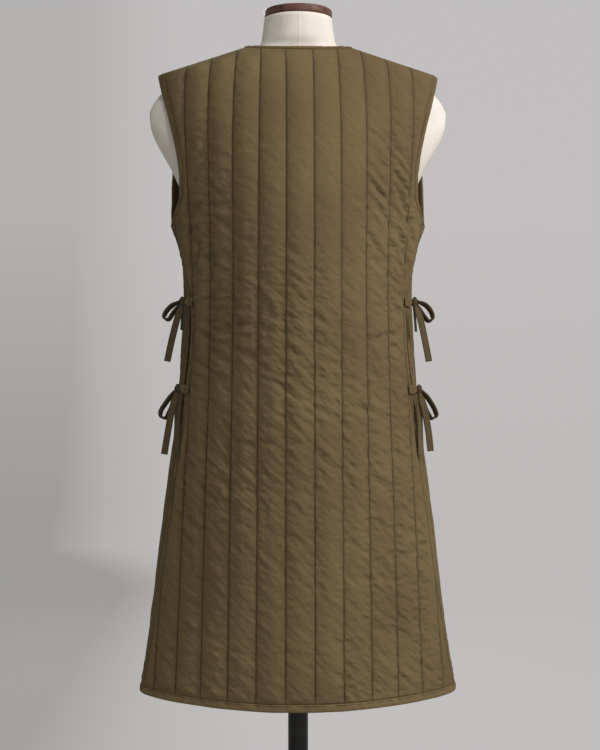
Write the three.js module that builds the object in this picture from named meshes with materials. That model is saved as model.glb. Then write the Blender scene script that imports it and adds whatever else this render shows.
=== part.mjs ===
// Quilted surcoat on a limbless dress form, after a medieval knee-length surcoat.
// Millimetres, +Z up. The origin is on the floor under the centre of the base.
// The wearer's back faces +Y, the front faces -Y, and the left side as seen from behind is +X.
import * as THREE from 'three';

// ---- Driving sizes -----------------------------------------------------------------------------

// Cloth
const WALL = 2.2; // two layers of cotton and the wadding pressed flat at a seam
const PUFF = 4; // how far the wadding stands out in the middle of a channel
const SEAM_GAP = 0.3;
const NECK_SEAM_GAP = 0.6; // a little more round the sharp corner of the neckline
const CHANNEL_AT_HEM = 44.9; // width of one quilted channel along the cloth
const CHANNEL_AT_NECK = 41.6;
const BINDING_THICKNESS = 3.8;
const BINDING_WIDTH = 10;
const BINDING_ROUND = 1; // how much the folded edge is rounded off
const HEM_BINDING_WIDTH = 12;
const NECK_BINDING_WIDTH = 6.5;
const PUFF_FADE = 14; // distance over which the wadding flattens towards a binding

// Heights
const HEM_Z = 487; // at the side edges
const HEM_DIP = 7; // how much lower the hem hangs at the centre
const HEM_DIP_TOP_Z = 760; // above this the rows are level
const UNDERARM_Z = 1228;
const SHOULDER_Z = 1466;
const NECK_SIDE_Z = 1512.4;
const NECK_SIDE_X = 79.5;
const SHOULDER_X = 223.5;
const BACK_NECK_DROP = 11.4;
const FRONT_NECK_DROP = 112.4;

// Horizontal sections of the worn cloth. Each half is a superellipse quarter between the centre and the
// side: halfWidth at the side, backDepth and frontDepth at the centre.
const ROUNDNESS = 1.7;
const SECTIONS = [
  { z: 480, halfWidth: 253, backDepth: 130, frontDepth: 130 },
  { z: 566, halfWidth: 241, backDepth: 130, frontDepth: 129 },
  { z: 662, halfWidth: 227.4, backDepth: 130, frontDepth: 128 },
  { z: 758, halfWidth: 215.4, backDepth: 130, frontDepth: 127 },
  { z: 854, halfWidth: 202.8, backDepth: 130, frontDepth: 126 },
  { z: 950, halfWidth: 191.5, backDepth: 130, frontDepth: 126 },
  { z: 1046, halfWidth: 185, backDepth: 130, frontDepth: 127 },
  { z: 1110, halfWidth: 181.5, backDepth: 130, frontDepth: 128 },
  { z: 1150, halfWidth: 183, backDepth: 130, frontDepth: 129 },
  { z: 1190, halfWidth: 189, backDepth: 131, frontDepth: 130 },
  { z: 1228, halfWidth: 195, backDepth: 131, frontDepth: 130 },
  { z: 1270, halfWidth: 202, backDepth: 130, frontDepth: 128 },
  { z: 1300, halfWidth: 209, backDepth: 129, frontDepth: 126 },
  { z: 1332, halfWidth: 216, backDepth: 126.5, frontDepth: 123 },
  { z: 1366, halfWidth: 222, backDepth: 121, frontDepth: 117 },
  { z: 1404, halfWidth: 227, backDepth: 111, frontDepth: 107 },
  { z: 1433, halfWidth: 226, backDepth: 101, frontDepth: 97 },
  { z: 1466, halfWidth: 223.5, backDepth: 87, frontDepth: 85 },
  { z: 1490, halfWidth: 149, backDepth: 74, frontDepth: 73 },
  { z: 1512.4, halfWidth: 79.5, backDepth: 60.2, frontDepth: 60.2 },
];

// Side edges below the underarm: how far each edge stops short of the y = 0 plane (a negative number
// passes it), and how far it is tucked in towards the body.
const SIDE_EDGES = [
  { z: 480, backShort: 5, frontShort: 1, backTuck: 0, frontTuck: 0 },
  { z: 518, backShort: 12, frontShort: -2, backTuck: 0, frontTuck: 1 },
  { z: 566, backShort: 17, frontShort: -4, backTuck: 0, frontTuck: 3 },
  { z: 662, backShort: 22, frontShort: -8, backTuck: 0, frontTuck: 5 },
  { z: 758, backShort: 26, frontShort: -11, backTuck: 0, frontTuck: 5 },
  { z: 854, backShort: 28, frontShort: -13, backTuck: 0, frontTuck: 5 },
  { z: 950, backShort: 34, frontShort: -15, backTuck: 0, frontTuck: 6 },
  { z: 1046, backShort: 41, frontShort: -15, backTuck: 0, frontTuck: 9 },
  { z: 1080, backShort: 39, frontShort: -15, backTuck: 0, frontTuck: 9 },
  { z: 1110, backShort: 32, frontShort: -15, backTuck: 0, frontTuck: 9 },
  { z: 1150, backShort: 14, frontShort: -12, backTuck: 0, frontTuck: 7 },
  { z: 1190, backShort: 7, frontShort: -5, backTuck: -1, frontTuck: 1 },
  { z: 1210, backShort: 4, frontShort: -2, backTuck: -4, frontTuck: -4 },
  { z: 1228, backShort: 0, frontShort: 0, backTuck: -8, frontTuck: -8 },
];

// Armhole edge above the underarm: its distance from the centre plane, and the outward flare that
// carries on from the tuck above. The front stands further out low down than the back.
const ARMHOLE_EDGE = [
  { z: 1228, backX: 195, frontX: 195, backTuck: -8, frontTuck: -8 },
  { z: 1236, backX: 194, frontX: 195.4, backTuck: -5.5, frontTuck: -7.5 },
  { z: 1251, backX: 191.6, frontX: 197.2, backTuck: -2, frontTuck: -5.5 },
  { z: 1270, backX: 187.3, frontX: 199.5, backTuck: 0, frontTuck: -3 },
  { z: 1300, backX: 187.2, frontX: 202.5, backTuck: 0, frontTuck: 0 },
  { z: 1332, backX: 191, frontX: 201.5, backTuck: 0, frontTuck: 0 },
  { z: 1366, backX: 198, frontX: 199.5, backTuck: 0, frontTuck: 0 },
  { z: 1404, backX: 207.5, frontX: 207, backTuck: 0, frontTuck: 0 },
  { z: 1433, backX: 215.5, frontX: 215.5, backTuck: 0, frontTuck: 0 },
  { z: 1466, backX: 223.5, frontX: 223.5, backTuck: 0, frontTuck: 0 },
];
const TUCK_REACH = 30; // how far in from the edge a tuck or flare is felt

// Mesh of a panel: quarter-channel columns out to the edge, which gathers those it cuts off.
const COLUMNS_PER_CHANNEL = 4;
const EDGE_COLUMN = 25;
const GATHER = 1; // spacing of the gathered columns
const NECK_COLUMN = 9; // the column that meets the neck corner, just inside the third seam
const CORNER_COLUMNS = [8.44, 8.75, 8.94]; // more columns where the neckline turns up to the corner
const CORNER_LEVEL = 1.9; // the level above which a row has them
const INNER_STEP = 4; // the plain inside keeps one column in four
const INNER_FULL_LEVEL = 1.85; // and every column above this level
const LOWER_ROWS = 12; // from the hem to just below the underarm
const UNDERARM_ROWS = [1203, 1216, 1228]; // heights of the last rows up to the underarm
const UPPER_ROWS = [0.035, 0.095, 0.17, 0.27, 0.39, 0.52, 0.65, 0.77, 0.87, 0.93, 0.965, 0.988, 1];

// Dress form: horizontal superellipse rings from the flat underside to the neck.
const FORM_RINGS = [
  { z: 860, halfWidth: 166, depth: 96, roundness: 2.2 },
  { z: 866, halfWidth: 173, depth: 102, roundness: 2.2 },
  { z: 930, halfWidth: 170, depth: 104, roundness: 2.2 },
  { z: 1000, halfWidth: 154, depth: 97, roundness: 2.2 },
  { z: 1080, halfWidth: 138, depth: 90, roundness: 2.2 },
  { z: 1150, halfWidth: 148, depth: 96, roundness: 2.15 },
  { z: 1228, halfWidth: 170, depth: 106, roundness: 2.05 },
  { z: 1270, halfWidth: 182, depth: 106, roundness: 1.95 },
  { z: 1296, halfWidth: 192.5, depth: 103, roundness: 1.85 },
  { z: 1320, halfWidth: 204, depth: 99, roundness: 1.8 },
  { z: 1343, halfWidth: 217, depth: 94, roundness: 1.75 },
  { z: 1366, halfWidth: 229, depth: 87, roundness: 1.7 },
  { z: 1387, halfWidth: 235.5, depth: 80, roundness: 1.7 },
  { z: 1405, halfWidth: 237, depth: 75, roundness: 1.7 },
  { z: 1420, halfWidth: 232, depth: 74, roundness: 1.7 },
  { z: 1434, halfWidth: 222, depth: 73, roundness: 1.7 },
  { z: 1450, halfWidth: 207, depth: 72, roundness: 1.7 },
  { z: 1466, halfWidth: 189, depth: 70, roundness: 1.7 },
  { z: 1478, halfWidth: 171, depth: 66, roundness: 1.7 },
  { z: 1488, halfWidth: 149.4, depth: 61, roundness: 1.7 },
  { z: 1498, halfWidth: 116.5, depth: 54, roundness: 1.72 },
  { z: 1505.5, halfWidth: 88, depth: 50, roundness: 1.8 },
  { z: 1509, halfWidth: 74, depth: 50, roundness: 1.9 },
  { z: 1514, halfWidth: 64, depth: 51, roundness: 1.95 },
  { z: 1521, halfWidth: 59.5, depth: 53, roundness: 2 },
  { z: 1558.4, halfWidth: 54.4, depth: 54.4, roundness: 2 },
];
const FORM_SIDES = 36;

// Stand
const CAP_RADIUS = 54.4;
const CAP_BOTTOM_Z = 1558.7;
const CAP_TOP_Z = 1572;
const CAP_EDGE_RADIUS = 2.5;
const POLE_RADIUS = 16;
const BASE_RADIUS = 190;
const BASE_THICKNESS = 14;
const BASE_EDGE_RADIUS = 4;
const COLLAR_RADIUS = 26;
const COLLAR_HEIGHT = 34;

// Ties: flat tape, knotted with one bow loop. Routes start at the knot and give how far each point lies
// outward, backward (+Y) and upward from it.
const TAPE_WIDTH = 10.5;
const TAPE_THICKNESS = 2;
const TAB_WIDTH = 13.5; // the sewn end is folded wider
const TAPE_AT_KNOT = 5; // gathered width where the tape enters the knot
const TAPE_GATHER = 14; // distance over which it opens to its full width
const KNOT = { out: 4.6, back: 4.6, up: 7.6 }; // half sizes
const TAB_REACH = 12.5; // how far onto the cloth the sewn end lies
const TAB_BEND = 0.5; // where it leaves the cloth, in from the edge
const SEWN_GAP = 0.6; // between a sewn end and the binding that it lies on
const TIES = [
  {
    name: 'upper_left',
    side: 1,
    knot: { x: 183.5, y: 31, z: 1105 },
    loop: [
      [6.6, 0, 1], [17, 1, -7], [26.5, 1, -18.5],
      [27.5, 0, -25], [21.5, -2, -27], [13.5, -5, -16.5], [6.8, -7.5, -5.5],
    ],
    tail: [[2, 4, -9], [6.8, 5, -24.4], [13.9, 4, -51.2], [23.3, 3, -93.7]],
    end: [[-2, -2, -9.5], [0, -3, -24], [1, -3, -44]],
  },
  {
    name: 'upper_right',
    side: -1,
    knot: { x: 183.5, y: 31, z: 1105 },
    loop: [
      [6, 0, 2.4], [18.4, 1, -5.5], [27.1, 1, -17.3],
      [28, 0, -26], [22.4, -2, -29], [16, -5, -22.5], [6.8, -7.5, -5],
    ],
    tail: [[2.7, 4, -9], [9, 5, -28.4], [15.3, 4, -56.7], [22.7, 3, -93.7]],
    end: [[-2, -2, -9.5], [1, -3, -28], [2.2, -3, -46.6]],
  },
  {
    name: 'lower_left',
    side: 1,
    knot: { x: 190.7, y: 29, z: 967.5 },
    loop: [
      [6, 0, -3], [19, 1, -22.5], [26.6, 1, -35.9],
      [25.5, 0, -43], [19, -2, -44.6], [12, -5.5, -32.8], [6.5, -8, -8],
    ],
    tail: [[3, 5, -9.5], [8.5, 10, -32.8], [14.2, 9, -64.3], [20.5, 8, -102]],
    end: [[-1, 1, -10], [-0.5, 7, -35.9], [0.5, 11, -64.3], [1.5, 16, -104.7]],
  },
  {
    name: 'lower_right',
    side: -1,
    knot: { x: 190.7, y: 29, z: 966.5 },
    loop: [
      [6.5, 0, -1.6], [16.2, 1, -15.8], [25.7, 1, -33],
      [27.2, 0, -41], [21, -2, -44.9], [14.6, -5.5, -37.8], [7.6, -8, -8],
    ],
    tail: [[3, 5, -9.5], [8.5, 10, -34.7], [13.5, 10, -63], [17.5, 9, -96.5]],
    end: [[-1, 1, -10], [0, 7, -34.7], [1, 11, -66.2], [1.5, 16, -103.2]],
  },
];

// ---- Materials ---------------------------------------------------------------------------------

const material = (color, roughness, metalness = 0) =>
  new THREE.MeshStandardMaterial({ color, roughness, metalness });
const CLOTH = material('#5f4f37', 0.9);
const BINDING = material('#574832', 0.9);
const LINEN = material('#d9d1c6', 0.85);
const WOOD = material('#5c4034', 0.55);
const METAL = material('#2a2826', 0.45, 0.7);

// ---- Small helpers -----------------------------------------------------------------------------

const lerp = THREE.MathUtils.lerp;
const clamp = THREE.MathUtils.clamp;
const smooth = (t) => THREE.MathUtils.smoothstep(t, 0, 1);

// Smooth value of one column of a table at height z, with no overshoot between its rows.
function column(table, key, z) {
  const last = table.length - 1;
  if (z <= table[0].z) return table[0][key];
  if (z >= table[last].z) return table[last][key];
  let k = 0;
  while (table[k + 1].z < z) k += 1;
  const chord = (i) => (table[i + 1][key] - table[i][key]) / (table[i + 1].z - table[i].z);
  const slope = (i) => {
    if (i <= 0) return chord(0);
    if (i >= last) return chord(last - 1);
    const before = chord(i - 1);
    const after = chord(i);
    return before * after <= 0 ? 0 : (2 * before * after) / (before + after);
  };
  const span = table[k + 1].z - table[k].z;
  const t = (z - table[k].z) / span;
  const a = table[k][key];
  const b = table[k + 1][key];
  const rise = (1 - t) * (1 - t) * t * slope(k) * span - (1 - t) * t * t * slope(k + 1) * span;
  return a * (1 + 2 * t) * (1 - t) * (1 - t) + b * t * t * (3 - 2 * t) + rise;
}

// Height of the shoulder line above a distance x from the centre plane.
const shoulderHeight = (x) =>
  lerp(NECK_SIDE_Z, SHOULDER_Z, (x - NECK_SIDE_X) / (SHOULDER_X - NECK_SIDE_X));

function halfWidth(z) {
  if (z <= SHOULDER_Z) return column(SECTIONS, 'halfWidth', z);
  return lerp(SHOULDER_X, NECK_SIDE_X, (z - SHOULDER_Z) / (NECK_SIDE_Z - SHOULDER_Z));
}

const depth = (panel, z) => column(SECTIONS, panel.depthKey, z);
const channelWidth = (z) => {
  const t = clamp((z - HEM_Z) / (SHOULDER_Z - HEM_Z), 0, 1);
  return lerp(CHANNEL_AT_HEM, CHANNEL_AT_NECK, t);
};

// ---- The two panels' shared surface ------------------------------------------------------------

const BACK = {
  name: 'back',
  face: 1,
  depthKey: 'backDepth',
  other: 'frontDepth',
  neckDrop: BACK_NECK_DROP,
  neckPower: 0.5,
};
const FRONT = {
  name: 'front',
  face: -1,
  depthKey: 'frontDepth',
  other: 'backDepth',
  neckDrop: FRONT_NECK_DROP,
  neckPower: 0.8,
};

// One half of a horizontal section, from the centre round the side and a little past it, as points
// {x, y, length} with the length measured along the cloth.
const SECTION_STEPS = 150;
const PAST_THE_SIDE = 0.55; // how far a section runs on round the side, in radians
const SECTION_END = Math.PI / 2 + PAST_THE_SIDE;
const sectionCache = new Map();
function section(panel, z) {
  const key = panel.name + z.toFixed(3);
  if (sectionCache.has(key)) return sectionCache.get(key);
  const width = halfWidth(z);
  const power = 2 / ROUNDNESS;
  const points = [];
  let length = 0;
  for (let k = 0; k <= SECTION_STEPS; k += 1) {
    const angle = (SECTION_END * k) / SECTION_STEPS;
    const cosine = Math.cos(angle);
    const reach = column(SECTIONS, cosine >= 0 ? panel.depthKey : panel.other, z);
    const x = width * Math.sin(angle) ** power;
    const y = Math.sign(cosine) * reach * Math.abs(cosine) ** power;
    if (k > 0) length += Math.hypot(x - points[k - 1].x, y - points[k - 1].y);
    points.push({ x, y, length });
  }
  sectionCache.set(key, points);
  return points;
}

// Point of a section where one of its values passes a target; y falls and length rises along it.
function along(points, key, target) {
  const rising = key === 'length';
  let k = 1;
  while (k < points.length - 1 && (rising ? points[k].length < target : points[k].y > target)) k += 1;
  const a = points[k - 1];
  const b = points[k];
  const t = (target - a[key]) / (b[key] - a[key]);
  return { x: lerp(a.x, b.x, t), y: lerp(a.y, b.y, t), length: lerp(a.length, b.length, t) };
}

// Neckline: half of it as seen from the front or back, moved out from the finished edge by inset.
function neckPoint(panel, share, inset) {
  const side = NECK_SIDE_X + inset;
  const x = side * share;
  const sideZ = shoulderHeight(side);
  const drop = panel.neckDrop + inset + sideZ - NECK_SIDE_Z;
  return { x, z: sideZ - drop * Math.max(0, 1 - share * share) ** panel.neckPower };
}

// Top end of a quilting position: on the neck seam near the centre, on the shoulder line beyond it.
const NECK_CHANNEL = NECK_COLUMN / COLUMNS_PER_CHANNEL;
const NECK_SPREAD = 0.93; // channels narrow slightly towards the neck corner
const SHOULDER_CHANNEL = 39.8;
function topPoint(panel, channel) {
  if (channel <= NECK_CHANNEL) {
    return neckPoint(panel, (channel / NECK_CHANNEL) ** NECK_SPREAD, NECK_BINDING_WIDTH);
  }
  const x = NECK_SIDE_X + NECK_BINDING_WIDTH + (channel - NECK_CHANNEL) * SHOULDER_CHANNEL;
  return { x, z: shoulderHeight(x) };
}

// The middle of the cloth without tuck or flare. channel counts quilted channels from the centre, and
// level runs from 0 at the hem to 1 at the underarm and on to 2 at the neck and shoulder.
const TURN_AT_TOP = 4; // how late a channel turns towards its place on the shoulder line
const SHOULDER_BLEND_Z = 1450;
function clothPoint(panel, channel, level) {
  if (level <= 1) {
    const z = lerp(HEM_Z, UNDERARM_Z, level);
    const p = along(section(panel, z), 'length', channel * channelWidth(z));
    const dip = HEM_DIP * clamp((HEM_DIP_TOP_Z - z) / (HEM_DIP_TOP_Z - HEM_Z), 0, 1);
    const sideways = clamp(p.x / halfWidth(z), 0, 1);
    return { x: p.x, y: p.y, z: z - dip * (1 - sideways * sideways) };
  }
  const rise = level - 1;
  const top = topPoint(panel, channel);
  const z = lerp(UNDERARM_Z, top.z, rise);
  const body = along(section(panel, Math.min(z, SHOULDER_BLEND_Z)), 'length', channel * channelWidth(z));
  const x = lerp(body.x, top.x, rise ** TURN_AT_TOP);
  const share = clamp(x / halfWidth(z), 0, 1);
  const y = depth(panel, z) * (1 - share ** ROUNDNESS) ** (1 / ROUNDNESS);
  return { x, y, z };
}

// Finished edge of the cloth at a level, as a channel count.
const WIDEST_CHANNEL = 6.6;
const EDGE_SEARCH_STEPS = 30;
function edgeChannel(panel, level) {
  if (level <= 1) {
    const z = lerp(HEM_Z, UNDERARM_Z, level);
    const short = column(SIDE_EDGES, `${panel.name}Short`, z);
    return along(section(panel, z), 'y', short).length / channelWidth(z);
  }
  let low = NECK_CHANNEL;
  let high = WIDEST_CHANNEL;
  for (let k = 0; k < EDGE_SEARCH_STEPS; k += 1) {
    const middle = (low + high) / 2;
    const p = clothPoint(panel, middle, level);
    if (p.x < column(ARMHOLE_EDGE, `${panel.name}X`, p.z)) low = middle;
    else high = middle;
  }
  return low;
}

const edgeCache = new Map();
function edgeAt(panel, level) {
  const key = panel.name + level.toFixed(6);
  if (!edgeCache.has(key)) edgeCache.set(key, edgeChannel(panel, level));
  return edgeCache.get(key);
}

// Channel position a distance in from the finished edge.
function insetChannel(panel, level, inset) {
  const edge = edgeAt(panel, level);
  return edge - inset / channelWidth(clothPoint(panel, edge, level).z);
}

function tuckAt(panel, level, z) {
  return column(level <= 1 ? SIDE_EDGES : ARMHOLE_EDGE, `${panel.name}Tuck`, z);
}

// Point on the middle of the cloth. A negative channel lies on the right side.
function surfacePoint(panel, channel, level) {
  const side = Math.sign(channel) || 1;
  const p = clothPoint(panel, Math.abs(channel), level);
  const inward = (edgeAt(panel, level) - Math.abs(channel)) * channelWidth(p.z);
  const felt = smooth(1 - inward / TUCK_REACH);
  const x = p.x - tuckAt(panel, level, p.z) * felt;
  return new THREE.Vector3(side * x, panel.face * (p.y + SEAM_GAP / 2), p.z);
}

// Outward unit normal of the cloth. On the shoulder seam it stays in the seam's own plane.
function surfaceNormal(panel, channel, level) {
  const across = 0.012;
  const up = 0.004;
  const left = surfacePoint(panel, channel - across, level);
  const right = surfacePoint(panel, channel + across, level);
  const below = surfacePoint(panel, channel, Math.max(level - up, 0));
  const above = surfacePoint(panel, channel, Math.min(level + up, 2));
  const normal = right.sub(left).cross(above.sub(below));
  if (panel.face > 0) normal.negate();
  if (level >= 2 && Math.abs(channel) > NECK_CHANNEL - across) normal.y = 0;
  if (level >= 2 && normal.z < 0) normal.negate();
  return normal.normalize();
}

// The normal at the seam of a side or armhole binding. At the underarm it stays in the side seam's plane.
function edgeNormal(panel, side, level) {
  const normal = surfaceNormal(panel, side * insetChannel(panel, level, BINDING_WIDTH), level);
  if (Math.abs(level - 1) < 0.001) normal.y = 0;
  return normal.normalize();
}

const offsetPoint = (point, normal, distance) => point.clone().addScaledVector(normal, distance);

// ---- Solids from rows of points ----------------------------------------------------------------

function closedGeometry(points, triangles) {
  const positions = new Float32Array(points.length * 3);
  points.forEach((p, k) => positions.set([p.x, p.y, p.z], 3 * k));
  const geometry = new THREE.BufferGeometry();
  geometry.setAttribute('position', new THREE.BufferAttribute(positions, 3));
  geometry.setIndex(triangles);
  geometry.computeVertexNormals();
  return geometry;
}

// Two triangles over a quad, folded along the diagonal that leaves the solid hollow rather than bulging.
function quad(points, a, b, c, d, triangles) {
  const edge = (k) => points[k].clone().sub(points[a]);
  const rise = edge(b).cross(edge(c)).dot(edge(d));
  if (rise >= 0) triangles.push(a, b, c, a, c, d);
  else triangles.push(a, b, d, b, c, d);
}

// Triangles between two chains of grid entries that run side by side, however many each has.
function stitch(points, a, b, triangles) {
  let i = 0;
  let j = 0;
  while (i < a.length - 1 || j < b.length - 1) {
    const nextA = i < a.length - 1 ? a[i + 1].at : Infinity;
    const nextB = j < b.length - 1 ? b[j + 1].at : Infinity;
    if (nextA === nextB) {
      quad(points, a[i].index, a[i + 1].index, b[j + 1].index, b[j].index, triangles);
      i += 1;
      j += 1;
    } else if (nextA < nextB) {
      triangles.push(a[i].index, a[i + 1].index, b[j].index);
      i += 1;
    } else {
      triangles.push(a[i].index, b[j + 1].index, b[j].index);
      j += 1;
    }
  }
}

// A wall between an outer and an inner grid with the same number of rows. Each entry of a grid has a point
// and the column it is at, and every row runs so that the outer grid faces out.
function wallGeometry(outer, inner) {
  const points = [];
  for (const entry of [...outer.flat(), ...inner.flat()]) {
    entry.index = points.length;
    points.push(entry.point);
  }
  const triangles = [];
  const top = outer.length - 1;
  for (let r = 0; r < top; r += 1) {
    stitch(points, outer[r], outer[r + 1], triangles);
    stitch(points, inner[r + 1], inner[r], triangles);
    const first = [outer[r][0], inner[r][0], inner[r + 1][0], outer[r + 1][0]];
    const last = [outer[r].at(-1), outer[r + 1].at(-1), inner[r + 1].at(-1), inner[r].at(-1)];
    quad(points, ...first.map((entry) => entry.index).reverse(), triangles);
    quad(points, ...last.map((entry) => entry.index).reverse(), triangles);
  }
  stitch(points, inner[0], outer[0], triangles);
  stitch(points, outer[top], inner[top], triangles);
  return closedGeometry(points, triangles);
}

// A solid through a row of closed loops with equal numbers of points; ends are capped unless it is a ring.
function loftGeometry(loops, ring = false) {
  const sides = loops[0].length;
  const points = loops.flat();
  const count = ring ? loops.length : loops.length - 1;
  const facesOut = (reversed) => {
    const triangles = [];
    for (let r = 0; r < count; r += 1) {
      const next = (r + 1) % loops.length;
      for (let k = 0; k < sides; k += 1) {
        const a = r * sides + k;
        const b = r * sides + ((k + 1) % sides);
        const c = next * sides + ((k + 1) % sides);
        const d = next * sides + k;
        if (reversed) quad(points, a, d, c, b, triangles);
        else quad(points, a, b, c, d, triangles);
      }
    }
    if (!ring) {
      const last = (loops.length - 1) * sides;
      for (let k = 1; k < sides - 1; k += 1) {
        if (reversed) triangles.push(0, k, k + 1, last, last + k + 1, last + k);
        else triangles.push(0, k + 1, k, last, last + k, last + k + 1);
      }
    }
    return triangles;
  };
  const plain = facesOut(false);
  return closedGeometry(points, signedVolume(points, plain) > 0 ? plain : facesOut(true));
}

function signedVolume(points, triangles) {
  let volume = 0;
  for (let k = 0; k < triangles.length; k += 3) {
    const [a, b, c] = [points[triangles[k]], points[triangles[k + 1]], points[triangles[k + 2]]];
    volume += a.dot(b.clone().cross(c)) / 6;
  }
  return volume;
}

const model = new THREE.Group();
function add(name, geometry, finish) {
  const mesh = new THREE.Mesh(geometry, finish);
  mesh.name = name;
  model.add(mesh);
}

// ---- Quilted panels ----------------------------------------------------------------------------

const hemLevel = HEM_BINDING_WIDTH / (UNDERARM_Z - HEM_Z);
const fadeLevel = (HEM_BINDING_WIDTH + PUFF_FADE) / (UNDERARM_Z - HEM_Z);
const levelOf = (z) => (z - HEM_Z) / (UNDERARM_Z - HEM_Z);
const skirtTop = levelOf(UNDERARM_ROWS[0]);
const lowerLevels = Array.from({ length: LOWER_ROWS }, (_, k) => lerp(fadeLevel, skirtTop, k / LOWER_ROWS));
lowerLevels.push(...UNDERARM_ROWS.map(levelOf));
const upperLevels = UPPER_ROWS.map((rise) => 1 + rise);
const LEVELS = [hemLevel, ...lowerLevels, ...upperLevels];

// Wadding height at a point: an arch across each channel that flattens towards every edge.
function puffHeight(channel, level, panelEdge) {
  const phase = 2 * Math.abs(channel - Math.round(channel));
  const arch = Math.sqrt(Math.max(0, 1 - phase * phase));
  const z = lerp(HEM_Z, UNDERARM_Z, Math.min(level, 1));
  const toEdge = (panelEdge - channel) * channelWidth(z);
  const toHem = (level - hemLevel) * (UNDERARM_Z - HEM_Z);
  const toTop = (2 - level) * (SHOULDER_Z - UNDERARM_Z);
  const fade = smooth(Math.min(toEdge, toHem, toTop) / PUFF_FADE);
  return PUFF * arch * fade;
}

// One half row, from the centre to the seam with the side or armhole binding: column numbers and the
// channel position of each.
function halfRow(panel, level) {
  const panelEdge = insetChannel(panel, level, BINDING_WIDTH);
  const columns = Array.from({ length: EDGE_COLUMN + 1 }, (_, k) => k);
  if (level > CORNER_LEVEL) columns.splice(NECK_COLUMN, 0, ...CORNER_COLUMNS);
  return columns.map((at) => {
    const gathered = panelEdge - ((EDGE_COLUMN - at) * GATHER) / CHANNEL_AT_HEM;
    return { at, channel: at === EDGE_COLUMN ? panelEdge : Math.min(at / COLUMNS_PER_CHANNEL, gathered) };
  });
}

function panelGeometry(panel) {
  const outer = [];
  const inner = [];
  for (const level of LEVELS) {
    const half = halfRow(panel, level);
    const panelEdge = half.at(-1).channel;
    const mirrored = half.slice(1).reverse().map(({ at, channel }) => ({ at: -at, channel: -channel }));
    const outerRow = [];
    const innerRow = [];
    for (const { at, channel } of [...mirrored, ...half]) {
      const point = surfacePoint(panel, channel, level);
      const column_ = Math.abs(at);
      const onEdge = column_ === EDGE_COLUMN;
      const normal = onEdge ? edgeNormal(panel, Math.sign(at), level) : surfaceNormal(panel, channel, level);
      const puff = puffHeight(Math.abs(channel), level, panelEdge);
      const order = -panel.face * at;
      outerRow.push({ at: order, point: offsetPoint(point, normal, WALL / 2 + puff) });
      const kept = column_ % INNER_STEP === 2 || column_ === 0 || onEdge || level > INNER_FULL_LEVEL;
      if (kept) innerRow.push({ at: order, point: offsetPoint(point, normal, -WALL / 2) });
    }
    outer.push(outerRow.sort((a, b) => a.at - b.at));
    inner.push(innerRow.sort((a, b) => a.at - b.at));
  }
  return wallGeometry(outer, inner);
}

add('back_panel', panelGeometry(BACK), CLOTH);
add('front_panel', panelGeometry(FRONT), CLOTH);

// ---- Bindings ----------------------------------------------------------------------------------

// Cross-section of a binding: a flat strip from its seam to a softly rounded edge.
function bindingLoop(seam, edge, normal) {
  const outward = edge.clone().sub(seam).normalize();
  const half = BINDING_THICKNESS / 2;
  const round = BINDING_ROUND;
  const at = (base, reach, lift) =>
    base.clone().addScaledVector(outward, reach).addScaledVector(normal, lift);
  return [
    at(seam, 0, half),
    at(edge, -round, half),
    at(edge, 0, half - round),
    at(edge, 0, round - half),
    at(edge, -round, -half),
    at(seam, 0, -half),
  ];
}

// One station of a side or armhole binding.
function edgeStation(panel, side, level) {
  const edge = edgeAt(panel, level);
  const seamChannel = insetChannel(panel, level, BINDING_WIDTH - SEAM_GAP);
  const seamPoint = surfacePoint(panel, side * seamChannel, level);
  const edgePoint = surfacePoint(panel, side * edge, level);
  return bindingLoop(seamPoint, edgePoint, edgeNormal(panel, side, level));
}

const gapLevel = SEAM_GAP / (UNDERARM_Z - HEM_Z);
const sideLevels = [hemLevel + gapLevel, ...lowerLevels.slice(0, -1), 1 - gapLevel];
const armLevels = [1, ...upperLevels];

for (const [hand, side] of [['left', 1], ['right', -1]]) {
  for (const panel of [BACK, FRONT]) {
    const loops = sideLevels.map((level) => edgeStation(panel, side, level));
    add(`${panel.name}_side_binding_${hand}`, loftGeometry(loops), BINDING);
  }
  const backLoops = armLevels.map((level) => edgeStation(BACK, side, level));
  const frontLoops = armLevels.slice(0, -1).reverse().map((level) => edgeStation(FRONT, side, level));
  add(`armhole_binding_${hand}`, loftGeometry([...backLoops, ...frontLoops]), BINDING);
}

const HEM_STEP = 2;
for (const panel of [BACK, FRONT]) {
  const edge = edgeAt(panel, 0);
  const last = Math.floor(edge * COLUMNS_PER_CHANNEL);
  const half = [];
  for (let k = 0; k < last; k += HEM_STEP) half.push(k / COLUMNS_PER_CHANNEL);
  half.push(edge);
  const stations = [...half.slice(1).reverse().map((channel) => -channel), ...half];
  const loops = stations.map((channel) => {
    const share = channel / edge;
    const seamLevel = hemLevel - gapLevel;
    const seamPoint = surfacePoint(panel, share * edgeAt(panel, seamLevel), seamLevel);
    const edgePoint = surfacePoint(panel, channel, 0);
    return bindingLoop(seamPoint, edgePoint, surfaceNormal(panel, channel, 0));
  });
  add(`${panel.name}_hem_binding`, loftGeometry(loops), BINDING);
}

// Neck binding: one ring, back half then front half.
function neckStation(panel, column_) {
  const share = Math.sign(column_) * (Math.abs(column_) / NECK_COLUMN) ** NECK_SPREAD;
  const onCloth = (inset) => {
    const p = neckPoint(panel, Math.abs(share), inset);
    const part = clamp(p.x / halfWidth(p.z), 0, 1);
    const y = depth(panel, p.z) * (1 - part ** ROUNDNESS) ** (1 / ROUNDNESS);
    return new THREE.Vector3(Math.sign(share) * p.x, panel.face * y, p.z);
  };
  const normal = surfaceNormal(panel, column_ / COLUMNS_PER_CHANNEL, 2);
  return bindingLoop(onCloth(NECK_BINDING_WIDTH - NECK_SEAM_GAP), onCloth(0), normal);
}

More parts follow.
